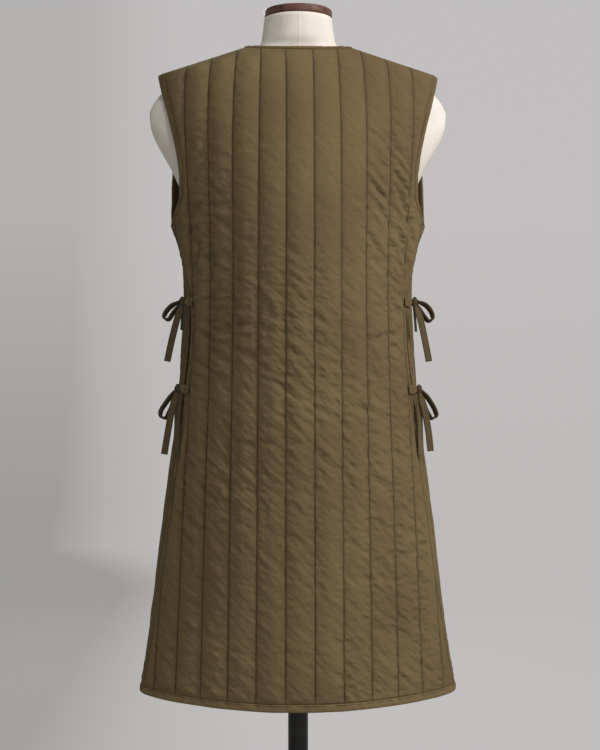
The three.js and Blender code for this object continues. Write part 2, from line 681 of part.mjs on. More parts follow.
const neckColumns = Array.from({ length: NECK_COLUMN + 1 }, (_, k) => k);
neckColumns.splice(NECK_COLUMN, 0, ...CORNER_COLUMNS);
const acrossNeck = [...neckColumns.slice(1).reverse().map((k) => -k), ...neckColumns];
const neckLoops = acrossNeck.map((k) => neckStation(BACK, k));
neckLoops.push(...acrossNeck.slice(1, -1).reverse().map((k) => neckStation(FRONT, k)));
add('neck_binding', loftGeometry(neckLoops, true), BINDING);

// ---- Ties --------------------------------------------------------------------------------------

// Sections of a flat tape through points, with its width along the directions given for each point.
function tapeLoops(points, widths, directions) {
  return points.map((point, k) => {
    const before = points[Math.max(k - 1, 0)];
    const after = points[Math.min(k + 1, points.length - 1)];
    const tangent = after.clone().sub(before).normalize();
    const across = directions[k].clone().addScaledVector(tangent, -directions[k].dot(tangent)).normalize();
    const normal = tangent.clone().cross(across);
    const half = widths[k] / 2;
    const lift = TAPE_THICKNESS / 2;
    const corner = (s, t) =>
      point.clone().addScaledVector(across, s * half).addScaledVector(normal, t * lift);
    return [corner(-1, -1), corner(1, -1), corner(1, 1), corner(-1, 1)];
  });
}

// Distance from a knot's surface to a point near it, given from the knot's centre.
function outsideKnot(point) {
  const scaled = new THREE.Vector3(point.x / KNOT.out, point.y / KNOT.back, point.z / KNOT.up);
  const slope = new THREE.Vector3(scaled.x / KNOT.out, scaled.y / KNOT.back, scaled.z / KNOT.up);
  return ((scaled.length() - 1) * scaled.length()) / slope.length();
}

const TAPE_STEP = 8;
const LOOP_STEP = 5; // closer round the bend of a loop
const SEAT_STEP = 0.05;

// A tape that leaves its knot along a route. Its first point slides along the route's first direction
// until its end lies a seam's gap from the knot.
function freeTape(tie, route, twistStart, twistEnd, gatherBothEnds) {
  const centre = new THREE.Vector3(tie.side * tie.knot.x, tie.knot.y, tie.knot.z);
  const fromCentre = ([out, back, up]) => centre.clone().add(new THREE.Vector3(tie.side * out, back, up));
  const placed = route.map(fromCentre);
  const towards = placed[0].clone().sub(centre).normalize();
  let loops;
  for (let reach = KNOT.out; ; reach += SEAT_STEP) {
    placed[0] = centre.clone().addScaledVector(towards, reach);
    loops = routeLoops(tie, route, placed, twistStart, twistEnd, gatherBothEnds);
    const clear = Math.min(...loops[0].map((corner) => outsideKnot(corner.clone().sub(centre))));
    if (clear >= SEAM_GAP && outsideKnot(placed[0].clone().sub(centre)) >= SEAM_GAP) break;
  }
  return loftGeometry(loops);
}

function routeLoops(tie, route, placed, twistStart, twistEnd, gatherBothEnds) {
  const curve = new THREE.CatmullRomCurve3(placed, false, 'centripetal');
  const steps = Math.ceil(curve.getLength() / (gatherBothEnds ? LOOP_STEP : TAPE_STEP));
  const points = curve.getSpacedPoints(steps);
  const span = curve.getLength() / steps;
  const tilt = Math.atan2(route[2][0] - route[0][0], route[0][2] - route[2][2]);
  const widths = points.map((_, k) => {
    const fromKnot = (gatherBothEnds ? Math.min(k, steps - k) : k) * span;
    return lerp(TAPE_AT_KNOT, TAPE_WIDTH, smooth(fromKnot / TAPE_GATHER));
  });
  const directions = points.map((_, k) => {
    const twist = THREE.MathUtils.degToRad(lerp(twistStart, twistEnd, k / steps));
    const flat = Math.cos(twist);
    return new THREE.Vector3(tie.side * flat * Math.cos(tilt), Math.sin(twist), flat * Math.sin(tilt));
  });
  return tapeLoops(points, widths, directions);
}

// Point over a side binding between two of its stations, in from its edge and moved out.
function overBinding(panel, side, z, inward, lift) {
  const above = sideLevels.findIndex((level) => level > levelOf(z));
  const [low, high] = [sideLevels[above - 1], sideLevels[above]];
  const atStation = (level) => {
    const edge = surfacePoint(panel, side * edgeAt(panel, level), level);
    const seam = surfacePoint(panel, side * insetChannel(panel, level, BINDING_WIDTH), level);
    return offsetPoint(edge.lerp(seam, inward / BINDING_WIDTH), edgeNormal(panel, side, level), lift);
  };
  return atStation(low).lerp(atStation(high), (levelOf(z) - low) / (high - low));
}

// A sewn tape end: it lies on the binding, runs to the edge and bridges to the knot.
function sewnTape(panel, tie) {
  const lift = BINDING_THICKNESS / 2 + SEWN_GAP + TAPE_THICKNESS / 2;
  const inwards = [TAB_REACH, TAB_REACH / 2, TAB_BEND];
  const over = (inward, z) => overBinding(panel, tie.side, z, inward, lift);
  const points = inwards.map((inward) => over(inward, tie.knot.z));
  const upright = inwards.map((inward) => over(inward, tie.knot.z + 1).sub(over(inward, tie.knot.z - 1)));
  const centre = new THREE.Vector3(tie.side * tie.knot.x, tie.knot.y, tie.knot.z);
  const fromKnot = points[2].clone().sub(centre);
  fromKnot.z = 0;
  points.push(centre.clone().addScaledVector(fromKnot.normalize(), KNOT.out + SEAM_GAP));
  upright.push(new THREE.Vector3(0, 0, 1));
  return loftGeometry(tapeLoops(points, [TAB_WIDTH, TAB_WIDTH, TAPE_WIDTH, TAPE_AT_KNOT], upright));
}

for (const tie of TIES) {
  const knot = new THREE.SphereGeometry(1, 10, 6);
  knot.scale(KNOT.out, KNOT.back, KNOT.up);
  knot.translate(tie.side * tie.knot.x, tie.knot.y, tie.knot.z);
  add(`tie_${tie.name}_knot`, knot, BINDING);
  add(`tie_${tie.name}_back_tape`, sewnTape(BACK, tie), BINDING);
  add(`tie_${tie.name}_front_tape`, sewnTape(FRONT, tie), BINDING);
  add(`tie_${tie.name}_loop`, freeTape(tie, tie.loop, 77, 86, true), BINDING);
  add(`tie_${tie.name}_tail`, freeTape(tie, tie.tail, 0, 0, false), BINDING);
  add(`tie_${tie.name}_end`, freeTape(tie, tie.end, -30, -30, false), BINDING);
}

// ---- Dress form and stand ----------------------------------------------------------------------

function formRing({ z, halfWidth: width, depth: reach, roundness }) {
  const power = 2 / roundness;
  return Array.from({ length: FORM_SIDES }, (_, k) => {
    const angle = (2 * Math.PI * k) / FORM_SIDES;
    const x = width * Math.sign(Math.cos(angle)) * Math.abs(Math.cos(angle)) ** power;
    const y = reach * Math.sign(Math.sin(angle)) * Math.abs(Math.sin(angle)) ** power;
    return new THREE.Vector3(x, y, z);
  });
}
add('form_torso', loftGeometry(FORM_RINGS.map(formRing)), LINEN);

// A round plate with a softened rim, turned about the vertical axis.
function plate(radius, bottom, top, round, segments) {
  const profile = [
    [0, bottom],
    [radius - round / 2, bottom],
    [radius, bottom + round / 2],
    [radius, top - round],
    [radius - round * 0.3, top - round * 0.3],
    [radius - round, top],
    [0, top],
  ].map(([r, z]) => new THREE.Vector2(r, z));
  const geometry = new THREE.LatheGeometry(profile, segments);
  geometry.rotateX(Math.PI / 2);
  return geometry;
}
add('neck_cap', plate(CAP_RADIUS, CAP_BOTTOM_Z, CAP_TOP_Z, CAP_EDGE_RADIUS, 48), WOOD);
add('base', plate(BASE_RADIUS, 0, BASE_THICKNESS, BASE_EDGE_RADIUS, 48), METAL);

const collarBottom = BASE_THICKNESS + SEAM_GAP;
add('pole_collar', plate(COLLAR_RADIUS, collarBottom, collarBottom + COLLAR_HEIGHT, 3, 32), METAL);
const poleBottom = collarBottom + COLLAR_HEIGHT + SEAM_GAP;
const poleTop = FORM_RINGS[0].z - SEAM_GAP;
const pole = new THREE.CylinderGeometry(POLE_RADIUS, POLE_RADIUS, poleTop - poleBottom, 32);
pole.rotateX(Math.PI / 2);
pole.translate(0, 0, (poleBottom + poleTop) / 2);
add('pole', pole, METAL);

export default model;
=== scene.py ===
"""Quilted surcoat on a limbless dress form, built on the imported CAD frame.

Sizes in the tables are millimetres, as in the CAD source; meshes are made in metres.
The wearer's back faces +Y and the left side as seen from behind is +X.
"""

import math
from types import SimpleNamespace

import bpy
import numpy as np
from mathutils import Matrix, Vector


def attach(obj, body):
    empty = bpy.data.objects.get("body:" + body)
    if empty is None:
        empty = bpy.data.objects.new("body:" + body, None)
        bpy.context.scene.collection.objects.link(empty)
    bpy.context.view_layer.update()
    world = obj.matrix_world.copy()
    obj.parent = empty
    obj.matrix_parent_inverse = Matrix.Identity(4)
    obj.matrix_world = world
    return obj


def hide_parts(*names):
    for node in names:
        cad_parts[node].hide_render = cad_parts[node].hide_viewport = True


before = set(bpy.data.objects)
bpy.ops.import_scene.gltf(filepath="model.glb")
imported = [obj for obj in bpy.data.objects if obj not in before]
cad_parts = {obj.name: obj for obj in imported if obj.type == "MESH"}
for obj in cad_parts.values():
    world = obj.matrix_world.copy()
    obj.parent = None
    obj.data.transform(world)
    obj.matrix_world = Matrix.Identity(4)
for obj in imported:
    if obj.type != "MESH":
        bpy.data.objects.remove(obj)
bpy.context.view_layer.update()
MM = 0.001
LEFT, RIGHT = 1, -1


def linked(name, data):
    obj = bpy.data.objects.new(name, data)
    bpy.context.scene.collection.objects.link(obj)
    return obj


# ---- Camera

CAMERA_DISTANCE = 2.3
CAMERA_HEIGHT = 0.99
CAMERA_TURN = math.radians(1.5)
CAMERA_SHIFT = -0.00304
LENS_MM = 69


camera_data = bpy.data.cameras.new("camera")
camera_data.lens = LENS_MM
camera_data.sensor_width = 36
camera_data.dof.use_dof = False
camera = linked("camera", camera_data)
away = Vector((math.sin(CAMERA_TURN), math.cos(CAMERA_TURN), 0))
camera.location = Vector((CAMERA_SHIFT, 0, CAMERA_HEIGHT)) + away * CAMERA_DISTANCE
camera.rotation_euler = (-away).to_track_quat("-Z", "Y").to_euler()
bpy.context.scene.camera = camera

# ---- Sizes shared with the CAD source

WALL = 2.2
PUFF = 4
SEAM_GAP = 0.3
SEWN_GAP = 0.6
NECK_SEAM_GAP = 0.6
CHANNEL_AT_HEM = 44.9
CHANNEL_AT_NECK = 41.6
BINDING_THICKNESS = 3.8
BINDING_WIDTH = 10
HEM_BINDING_WIDTH = 12
NECK_BINDING_WIDTH = 6.5
HEM_Z = 487
HEM_DIP = 7
HEM_DIP_TOP_Z = 760
UNDERARM_Z = 1228
SHOULDER_Z = 1466
NECK_SIDE_Z = 1512.4
NECK_SIDE_X = 79.5
SHOULDER_X = 223.5
ROUNDNESS = 1.7
TUCK_REACH = 30
NECK_CHANNEL = 2.25
NECK_SPREAD = 0.93
SHOULDER_CHANNEL = 39.8
TURN_AT_TOP = 4
SHOULDER_BLEND_Z = 1450
SECTION_STEPS = 150
SECTION_END = math.pi / 2 + 0.55


def table(columns, rows):
    return dict(zip(columns.split(), np.array(rows, float).T))


SECTIONS = table("z half back front", [
    (480, 253, 130, 130), (566, 241, 130, 129), (662, 227.4, 130, 128), (758, 215.4, 130, 127),
    (854, 202.8, 130, 126), (950, 191.5, 130, 126), (1046, 185, 130, 127), (1110, 181.5, 130, 128),
    (1150, 183, 130, 129), (1190, 189, 131, 130), (1228, 195, 131, 130), (1270, 202, 130, 128),
    (1300, 209, 129, 126), (1332, 216, 126.5, 123), (1366, 222, 121, 117), (1404, 227, 111, 107),
    (1433, 226, 101, 97), (1466, 223.5, 87, 85), (1490, 149, 74, 73), (1512.4, 79.5, 60.2, 60.2),
])
SIDE_EDGES = table("z back_short front_short back_tuck front_tuck", [
    (480, 5, 1, 0, 0), (518, 12, -2, 0, 1), (566, 17, -4, 0, 3), (662, 22, -8, 0, 5),
    (758, 26, -11, 0, 5), (854, 28, -13, 0, 5), (950, 34, -15, 0, 6), (1046, 41, -15, 0, 9),
    (1080, 39, -15, 0, 9), (1110, 32, -15, 0, 9), (1150, 14, -12, 0, 7), (1190, 7, -5, -1, 1),
    (1210, 4, -2, -4, -4), (1228, 0, 0, -8, -8),
])
ARMHOLE_EDGE = table("z back_x front_x back_tuck front_tuck", [
    (1228, 195, 195, -8, -8), (1236, 194, 195.4, -5.5, -7.5), (1251, 191.6, 197.2, -2, -5.5),
    (1270, 187.3, 199.5, 0, -3), (1300, 187.2, 202.5, 0, 0), (1332, 191, 201.5, 0, 0),
    (1366, 198, 199.5, 0, 0), (1404, 207.5, 207, 0, 0), (1433, 215.5, 215.5, 0, 0),
    (1466, 223.5, 223.5, 0, 0),
])
BACK = SimpleNamespace(name="back", face=1, other="front", drop=11.4, power=0.5)
FRONT = SimpleNamespace(name="front", face=-1, other="back", drop=112.4, power=0.8)

FORM_RINGS = table("z half depth round", [
    (860, 166, 96, 2.2), (866, 173, 102, 2.2), (930, 170, 104, 2.2), (1000, 154, 97, 2.2),
    (1080, 138, 90, 2.2), (1150, 148, 96, 2.15), (1228, 170, 106, 2.05), (1270, 182, 106, 1.95),
    (1296, 192.5, 103, 1.85), (1320, 204, 99, 1.8), (1343, 217, 94, 1.75), (1366, 229, 87, 1.7),
    (1387, 235.5, 80, 1.7), (1405, 237, 75, 1.7), (1420, 232, 74, 1.7), (1434, 222, 73, 1.7),
    (1450, 207, 72, 1.7), (1466, 189, 70, 1.7), (1478, 171, 66, 1.7), (1488, 149.4, 61, 1.7),
    (1498, 116.5, 54, 1.72), (1505.5, 88, 50, 1.8), (1509, 74, 50, 1.9), (1514, 64, 51, 1.95),
    (1521, 59.5, 53, 2), (1558.4, 54.4, 54.4, 2),
])

CAP_RADIUS = 54.4
CAP_BOTTOM_Z = 1558.7
CAP_TOP_Z = 1572
POLE_RADIUS = 16
BASE_RADIUS = 190
BASE_THICKNESS = 14
COLLAR_RADIUS = 26
COLLAR_HEIGHT = 34

TAPE_WIDTH = 10.5
TAPE_THICKNESS = 2.0
LOOP_THICKNESS = 3.0  # a loop's tape is rounder than the hanging ends
TAB_WIDTH = 13.5
TAPE_AT_KNOT = 5
KNOT = np.array([4.6, 4.6, 7.6])
TAB_REACH = 12.5
TAB_BEND = 0.5
TAPE_GATHER = 14
# Routes start at the knot: outward, backward and upward from it.
TIES = {
    "upper_left": {
        "side": LEFT, "knot": (183.5, 31, 1105),
        "loop": [(6.6, 0, 1), (17, 1, -7), (26.5, 1, -18.5), (27.5, 0, -25), (21.5, -2, -27),
                 (13.5, -5, -16.5), (6.8, -7.5, -5.5)],
        "tail": [(2, 4, -9), (6.8, 5, -24.4), (13.9, 4, -51.2), (23.3, 3, -93.7)],
        "end": [(-2, -2, -9.5), (0, -3, -24), (1, -3, -44)],
    },
    "upper_right": {
        "side": RIGHT, "knot": (183.5, 31, 1105),
        "loop": [(6, 0, 2.4), (18.4, 1, -5.5), (27.1, 1, -17.3), (28, 0, -26), (22.4, -2, -29),
                 (16, -5, -22.5), (6.8, -7.5, -5)],
        "tail": [(2.7, 4, -9), (9, 5, -28.4), (15.3, 4, -56.7), (22.7, 3, -93.7)],
        "end": [(-2, -2, -9.5), (1, -3, -28), (2.2, -3, -46.6)],
    },
    "lower_left": {
        "side": LEFT, "knot": (190.7, 29, 967.5),
        "loop": [(6, 0, -3), (19, 1, -22.5), (26.6, 1, -35.9), (25.5, 0, -43), (19, -2, -44.6),
                 (12, -5.5, -32.8), (6.5, -8, -8)],
        "tail": [(3, 5, -9.5), (8.5, 10, -32.8), (14.2, 9, -64.3), (20.5, 8, -102)],
        "end": [(-1, 1, -10), (-0.5, 7, -35.9), (0.5, 11, -64.3), (1.5, 16, -104.7)],
    },
    "lower_right": {
        "side": RIGHT, "knot": (190.7, 29, 966.5),
        "loop": [(6.5, 0, -1.6), (16.2, 1, -15.8), (25.7, 1, -33), (27.2, 0, -41), (21, -2, -44.9),
                 (14.6, -5.5, -37.8), (7.6, -8, -8)],
        "tail": [(3, 5, -9.5), (8.5, 10, -34.7), (13.5, 10, -63), (17.5, 9, -96.5)],
        "end": [(-1, 1, -10), (0, 7, -34.7), (1, 11, -66.2), (1.5, 16, -103.2)],
    },
}

# ---- Sizes of the finer look

GROOVE = 0.5  # how far the quilting thread pulls the cloth in at a seam
PUFF_FADE = 9  # the wadding flattens over this distance towards a binding
SHOULDER_FADE = 24  # and over this one towards the shoulder seam and the neck
PUCKER = 2.3  # height of the small wrinkles beside a seam
PUCKER_REACH = 6  # where they are highest, from the seam
WRINKLE = 1.9  # height of the longer wrinkles across a channel
WRINKLE_SLANT = 0.8
LIVELY_TO_Z = 1120  # in the middle; further up near the sides
WAIST_Z = 950  # over WAIST_REACH above it the wrinkles' slant turns about
WAIST_REACH = 120
SMALL_WRINKLE = 0.0047  # metres a whole unit of the finer wrinkles' noise is worth
# The finer wrinkles: the mesh's attribute, turn, sizes in metres, detail and share of the height.
BUMP_WRINKLES = [
    ("wrinkle", -0.75, (0.034, 0.06, 0.011), 1.2, 1.0),
    ("pucker", -0.3, (0.013, 0.06, 0.0065), 0.6, 0.55),
]
WEAVE_HEIGHT = 0.0006
WEAVE_IN_WRINKLES = 0.04
SEAM_PAINTED_SHADE = (0.3, 0.25, 0.15)  # painted shade in a seam's groove: shares of the dark colour's red, green and blue
CALM_EDGE = 0.14  # share of the wrinkles' height left at the side edges
EDGE_CALM_REACH = 20
CALM_SHARE = 0.13  # and over this share of the garment's half width at its outline
HELD_AT_SEAM = 0.25  # share of a crease's height left where the stitching holds it
PUFF_POWER = 1.35  # above 1 the wadding rises more gently from a seam
BILLOW = 3.5  # slow waves of the hanging skirt, full BILLOW_REACH below their top
BILLOW_TOP_Z = 1150
BILLOW_REACH = 320
# Share of half a channel, from its middle to the seam, of each mesh column.
CHANNEL_SHARES = [0, 0.09, 0.18, 0.25, 0.33, 0.41, 0.455, 0.482]
ROW_STEP = 2.8
EDGE_SPACING = 0.35
# Creases listed one by one: place across and up, length, degrees from level, width, depth.
CREASES = {
    "back": [
        (-120, 1352, 52, 44, 3.6, 1.9), (-147, 1341, 50, 46, 3.8, 2.4), (-152, 1315, 54, 47, 3.6, 2.8),
        (-116, 1296, 50, 45, 4, 2.2), (-157, 1287, 58, 58, 4, 3), (-124, 1268, 52, 47, 4, 2.8),
        (-160, 1251, 66, 64, 4.2, 3), (-96, 1246, 44, 42, 4, 1.9), (-132, 1228, 56, 58, 4.2, 2.6),
        (-156, 1206, 52, 66, 4, 2.4), (-110, 1196, 46, 50, 4.2, 2.2), (-170, 1222, 62, 74, 3.8, 2.8),
        (-162, 1182, 64, 71, 3.8, 2.8), (-146, 1176, 50, 62, 4, 2.4), (-166, 1150, 56, 77, 3.8, 2.4),
        (-120, 1158, 44, 50, 4.6, 2.4), (170, 1206, 54, -76, 3.8, 2.4), (158, 1172, 52, -70, 3.8, 2.2),
        (-146, 1132, 42, 56, 4.6, 2.8), (-152, 1112, 40, 48, 4.5, 2.4), (150, 1333, 46, -50, 4.2, 1.8),
        (156, 1300, 50, -58, 4.4, 2.4), (128, 1274, 44, 40, 4, 1.7), (160, 1246, 46, -52, 4.4, 2.4),
        (118, 1222, 42, 38, 4.2, 1.7), (148, 1128, 38, -52, 4.4, 2.4), (140, 1108, 40, -44, 4.4, 2.2),
        (132, 1160, 40, 34, 4.4, 2), (40, 1120, 46, 36, 4.4, 1.8), (-30, 1074, 48, 38, 4.4, 1.8),
        (66, 1010, 50, 34, 4.4, 2), (30, 972, 56, 30, 4.6, 2.2), (-14, 944, 52, 32, 4.6, 2.2),
        (-60, 918, 46, 34, 4.4, 1.8), (112, 930, 50, 40, 4.6, 2), (96, 842, 48, 36, 4.6, 2),
        (140, 806, 46, 34, 4.6, 1.9), (93, 1064, 66, -12, 5.5, 2.8), (140, 1046, 40, 38, 5, 2.4),
        (122, 1020, 46, 30, 5, 2.2), (150, 1004, 38, 44, 4.5, 2.2), (-128, 1048, 40, -28, 5, 2),
        (-96, 936, 44, 20, 5, 1.8), (60, 884, 42, -16, 5, 1.6), (-42, 1010, 38, 12, 5, 1.6),
        (168, 760, 46, 24, 5.5, 2), (-176, 716, 44, -22, 5.5, 1.8),
    ],
    "front": [
        (-150, 1302, 52, 42, 5.5, 3), (148, 1296, 50, -45, 5.5, 3.2), (158, 1248, 48, -38, 5, 3),
        (-160, 1240, 46, 36, 5, 3.2), (96, 1330, 40, -30, 5, 2), (-118, 1160, 46, 48, 5, 2.6),
        (134, 1124, 44, -50, 5, 2.6), (88, 1060, 62, 14, 5.5, 2.4), (-132, 1030, 44, -34, 5, 2.2),
        (-60, 948, 40, 18, 5, 1.8), (112, 842, 46, -22, 5.5, 1.8), (-150, 742, 48, 24, 5.5, 2),
    ],
}

# ---- Small helpers


def lerp(a, b, t):
    return a + (b - a) * t


def smooth(t):
    t = np.clip(t, 0, 1)
    return t * t * (3 - 2 * t)


def hermite(first, last, slope_first, slope_last, t):
    return lerp(first, last, smooth(t)) + t * (1 - t) ** 2 * slope_first - t * t * (1 - t) * slope_last


def signed_power(x, power):
    return np.sign(x) * np.abs(x) ** power


def bell(x, width=1):
    return np.exp(-((x / width) ** 2))


def unit(v):
    return v / np.maximum(np.linalg.norm(v, axis=-1, keepdims=True), 1e-12)


def run_along(points):
    """Length of a line from its start to each of its points."""
    return np.cumsum(np.insert(np.linalg.norm(np.diff(points, axis=0), axis=1), 0, 0))


def at_run(where, run, values):
    """Values, given at the lengths of a run, at other lengths."""
    return np.stack([np.interp(where, run, values[:, k]) for k in range(3)], -1)


def from_seams(channels, width):
    """Distance to the nearest quilting seam."""
    return np.abs(channels - np.floor(channels) - 0.5) * width


def column(tab, key, z):
    """Smooth value of a table's column at each height, with no overshoot between its rows."""
    heights, values = tab["z"], tab[key]
    z = np.clip(np.asarray(z, float), heights[0], heights[-1])
    k = np.clip(np.searchsorted(heights, z) - 1, 0, len(heights) - 2)
    span = np.diff(heights)
    chord = np.diff(values) / span
    before, after = chord[:-1], chord[1:]
    same_way = before * after > 0
    mean = 2 * before * after / np.where(same_way, before + after, 1)
    slope = np.concatenate([chord[:1], np.where(same_way, mean, 0), chord[-1:]])
    t = (z - heights[k]) / span[k]
    return hermite(values[k], values[k + 1], span[k] * slope[k], span[k] * slope[k + 1], t)


LATTICE = 64


def noise(x, y, seed):
    """Smooth noise from -1 to 1 over a plane, one bump per unit."""
    grid = np.random.default_rng(seed).uniform(-1, 1, (LATTICE, LATTICE))
    column_, row = np.floor(x).astype(int), np.floor(y).astype(int)
    u, v = smooth(x - column_), smooth(y - row)
    c0, c1 = column_ % LATTICE, (column_ + 1) % LATTICE
    r0, r1 = row % LATTICE, (row + 1) % LATTICE
    return lerp(lerp(grid[c0, r0], grid[c1, r0], u), lerp(grid[c0, r1], grid[c1, r1], u), v)


# ---- The cloth's surface


def shoulder_height(x):
    return lerp(NECK_SIDE_Z, SHOULDER_Z, (x - NECK_SIDE_X) / (SHOULDER_X - NECK_SIDE_X))


def half_width(z):
    climb = np.clip((z - SHOULDER_Z) / (NECK_SIDE_Z - SHOULDER_Z), 0, 1)
    return np.where(z <= SHOULDER_Z, column(SECTIONS, "half", z), lerp(SHOULDER_X, NECK_SIDE_X, climb))


def channel_width(z):
    return lerp(CHANNEL_AT_HEM, CHANNEL_AT_NECK, np.clip((z - HEM_Z) / (SHOULDER_Z - HEM_Z), 0, 1))


def section(panel, z):
    """Half of the horizontal section at each height: x, y and the length along the cloth."""
    angle = np.linspace(0, SECTION_END, SECTION_STEPS + 1)
    sine, cosine = np.sin(angle), np.cos(angle)
    power = 2 / ROUNDNESS
    own = column(SECTIONS, panel.name, z)[:, None]
    other = column(SECTIONS, panel.other, z)[:, None]
    x = half_width(z)[:, None] * sine**power
    y = np.where(cosine >= 0, own, other) * signed_power(cosine, power)
    step = np.hypot(np.diff(x, axis=1), np.diff(y, axis=1))
    return x, y, np.cumsum(np.insert(step, 0, 0, axis=1), axis=1)


def along(curve, target, falling=False):
    """Point of each section where its length, or its falling y, reaches a target."""
    x, y, length = curve
    passed = y > target[:, None] if falling else length < target[:, None]
    k = np.clip(passed.sum(axis=1), 1, x.shape[1] - 1)
    row = np.arange(len(k))
    key = y if falling else length
    t = (target - key[row, k - 1]) / (key[row, k] - key[row, k - 1])
    return [lerp(values[row, k - 1], values[row, k], t) for values in (x, y, length)]


def neck_point(panel, share, inset):
    side = NECK_SIDE_X + inset
    side_z = shoulder_height(side)
    drop = panel.drop + inset + side_z - NECK_SIDE_Z
    return side * share, side_z - drop * np.maximum(0, 1 - share * share) ** panel.power


def top_point(panel, channel):
    share = np.minimum(channel / NECK_CHANNEL, 1) ** NECK_SPREAD
    neck_x, neck_z = neck_point(panel, share, NECK_BINDING_WIDTH)
    x = NECK_SIDE_X + NECK_BINDING_WIDTH + (channel - NECK_CHANNEL) * SHOULDER_CHANNEL
    on_neck = channel <= NECK_CHANNEL
    return np.where(on_neck, neck_x, x), np.where(on_neck, neck_z, shoulder_height(x))


def upper_depth(panel, x, z):
    share = np.clip(x / half_width(z), 0, 1)
    return column(SECTIONS, panel.name, z) * (1 - share**ROUNDNESS) ** (1 / ROUNDNESS)


def cloth(panel, channel, level):
    """Middle of the cloth without tuck. level is 0 at the hem, 1 at the underarm, 2 at the top."""
    low = level <= 1
    rise = np.clip(level - 1, 0, 1)
    top_x, top_z = top_point(panel, channel)
    z = np.where(low, lerp(HEM_Z, UNDERARM_Z, level), lerp(UNDERARM_Z, top_z, rise))
    curve = section(panel, np.minimum(z, SHOULDER_BLEND_Z))
    body_x, body_y, _ = along(curve, channel * channel_width(z))
    x = np.where(low, body_x, lerp(body_x, top_x, rise**TURN_AT_TOP))
    y = np.where(low, body_y, upper_depth(panel, x, z))
    sideways = np.clip(x / half_width(z), 0, 1)
    dip = HEM_DIP * np.clip((HEM_DIP_TOP_Z - z) / (HEM_DIP_TOP_Z - HEM_Z), 0, 1)
    return x, y, z - np.where(low, dip * (1 - sideways * sideways), 0)


EDGE_LEVELS = np.linspace(0, 2, 801)
EDGE_SEARCH_STEPS = 26
WIDEST_CHANNEL = 6.6


def edge_table(panel):
    """Finished edge of the cloth as a channel count, at each of EDGE_LEVELS."""
    z = lerp(HEM_Z, UNDERARM_Z, np.minimum(EDGE_LEVELS, 1))
    short = column(SIDE_EDGES, panel.name + "_short", z)
    lower = along(section(panel, z), short, falling=True)[2] / channel_width(z)
    low = np.full(len(z), NECK_CHANNEL)
    high = np.full(len(z), WIDEST_CHANNEL)
    for _ in range(EDGE_SEARCH_STEPS):
        middle = (low + high) / 2
        x, _, height = cloth(panel, middle, EDGE_LEVELS)
        edge = column(ARMHOLE_EDGE, panel.name + "_x", height)
        low, high = np.where(x < edge, middle, low), np.where(x < edge, high, middle)
    return np.where(EDGE_LEVELS <= 1, lower, low)


for each_panel in (BACK, FRONT):
    each_panel.edges = edge_table(each_panel)


def edge_at(panel, level):
    return np.interp(level, EDGE_LEVELS, panel.edges)


def inset_channel(panel, level, inset):
    edge = edge_at(panel, level)
    return edge - inset / channel_width(cloth(panel, edge, level)[2])


def billow(x, z):
    """Slow waves of the skirt, none near the side edges and the ties, and little above the waist."""
    across = 1 - smooth((np.abs(x) / half_width(z) - 0.55) / 0.35)
    down = smooth((BILLOW_TOP_Z - z) / BILLOW_REACH)
    waves = noise(x / 78 + 5, z / 340 + 3, 11) + 0.5 * noise(x / 40, z / 150, 12)
    return BILLOW * across * down * waves


def surface(panel, channel, level):
    """Points on the middle of the cloth. A negative channel lies on the right side."""
    channel, level = np.broadcast_arrays(np.asarray(channel, float), np.asarray(level, float))
    side = np.where(channel < 0, -1, 1)
    x, y, z = cloth(panel, np.abs(channel), level)
    inward = (edge_at(panel, level) - np.abs(channel)) * channel_width(z)
    below, above = (column(tab, panel.name + "_tuck", z) for tab in (SIDE_EDGES, ARMHOLE_EDGE))
    x = side * (x - np.where(level <= 1, below, above) * smooth(1 - inward / TUCK_REACH))
    y = panel.face * (y + SEAM_GAP / 2 + billow(x, z))
    return np.stack([x, y, z], axis=-1)


def normal_at(panel, channel, level):
    """Outward unit normal. On the shoulder seam it stays in the seam's own plane."""
    channel, level = np.broadcast_arrays(np.asarray(channel, float), np.asarray(level, float))
    across, up = 0.012, 0.004
    sideways = surface(panel, channel + across, level) - surface(panel, channel - across, level)
    upward = surface(panel, channel, np.minimum(level + up, 2))
    upward = upward - surface(panel, channel, np.maximum(level - up, 0))
    normal = -panel.face * np.cross(sideways, upward)
    top = level >= 2
    normal[top & (np.abs(channel) > NECK_CHANNEL - across), 1] = 0
    normal[top & (normal[:, 2] < 0)] *= -1
    return unit(normal)


def edge_normal(panel, side, level):
    normal = normal_at(panel, side * inset_channel(panel, level, BINDING_WIDTH), level)
    normal[np.abs(level - 1) < 1e-3, 1] = 0
    return unit(normal)


# ---- Meshes


def make_object(name, points, faces, material, smooth_shading=True):
    """A mesh from points in millimetres."""
    mesh = bpy.data.meshes.new(name)
    mesh.from_pydata((np.asarray(points) * MM).tolist(), [], faces)
    mesh.update()
    obj = linked(name, mesh)
    mesh.polygons.foreach_set("use_smooth", [smooth_shading] * len(mesh.polygons))
    mesh.materials.append(material)
    return obj


def add_attribute(obj, name, values):
    attribute = obj.data.attributes.new(name, "FLOAT", "POINT")
    attribute.data.foreach_set("value", np.asarray(values, np.float32).ravel())


def quads_between(first, second):
    """Faces between closed rows of point numbers."""
    return np.stack([first, np.roll(first, -1, 1), np.roll(second, -1, 1), second], -1).reshape(-1, 4)


def volume_of(points, quads):
    """Six times the signed volume inside quads."""
    a, b, c, d = (points[quads[:, k]] for k in range(4))
    return (a * (np.cross(b, c) + np.cross(c, d))).sum()


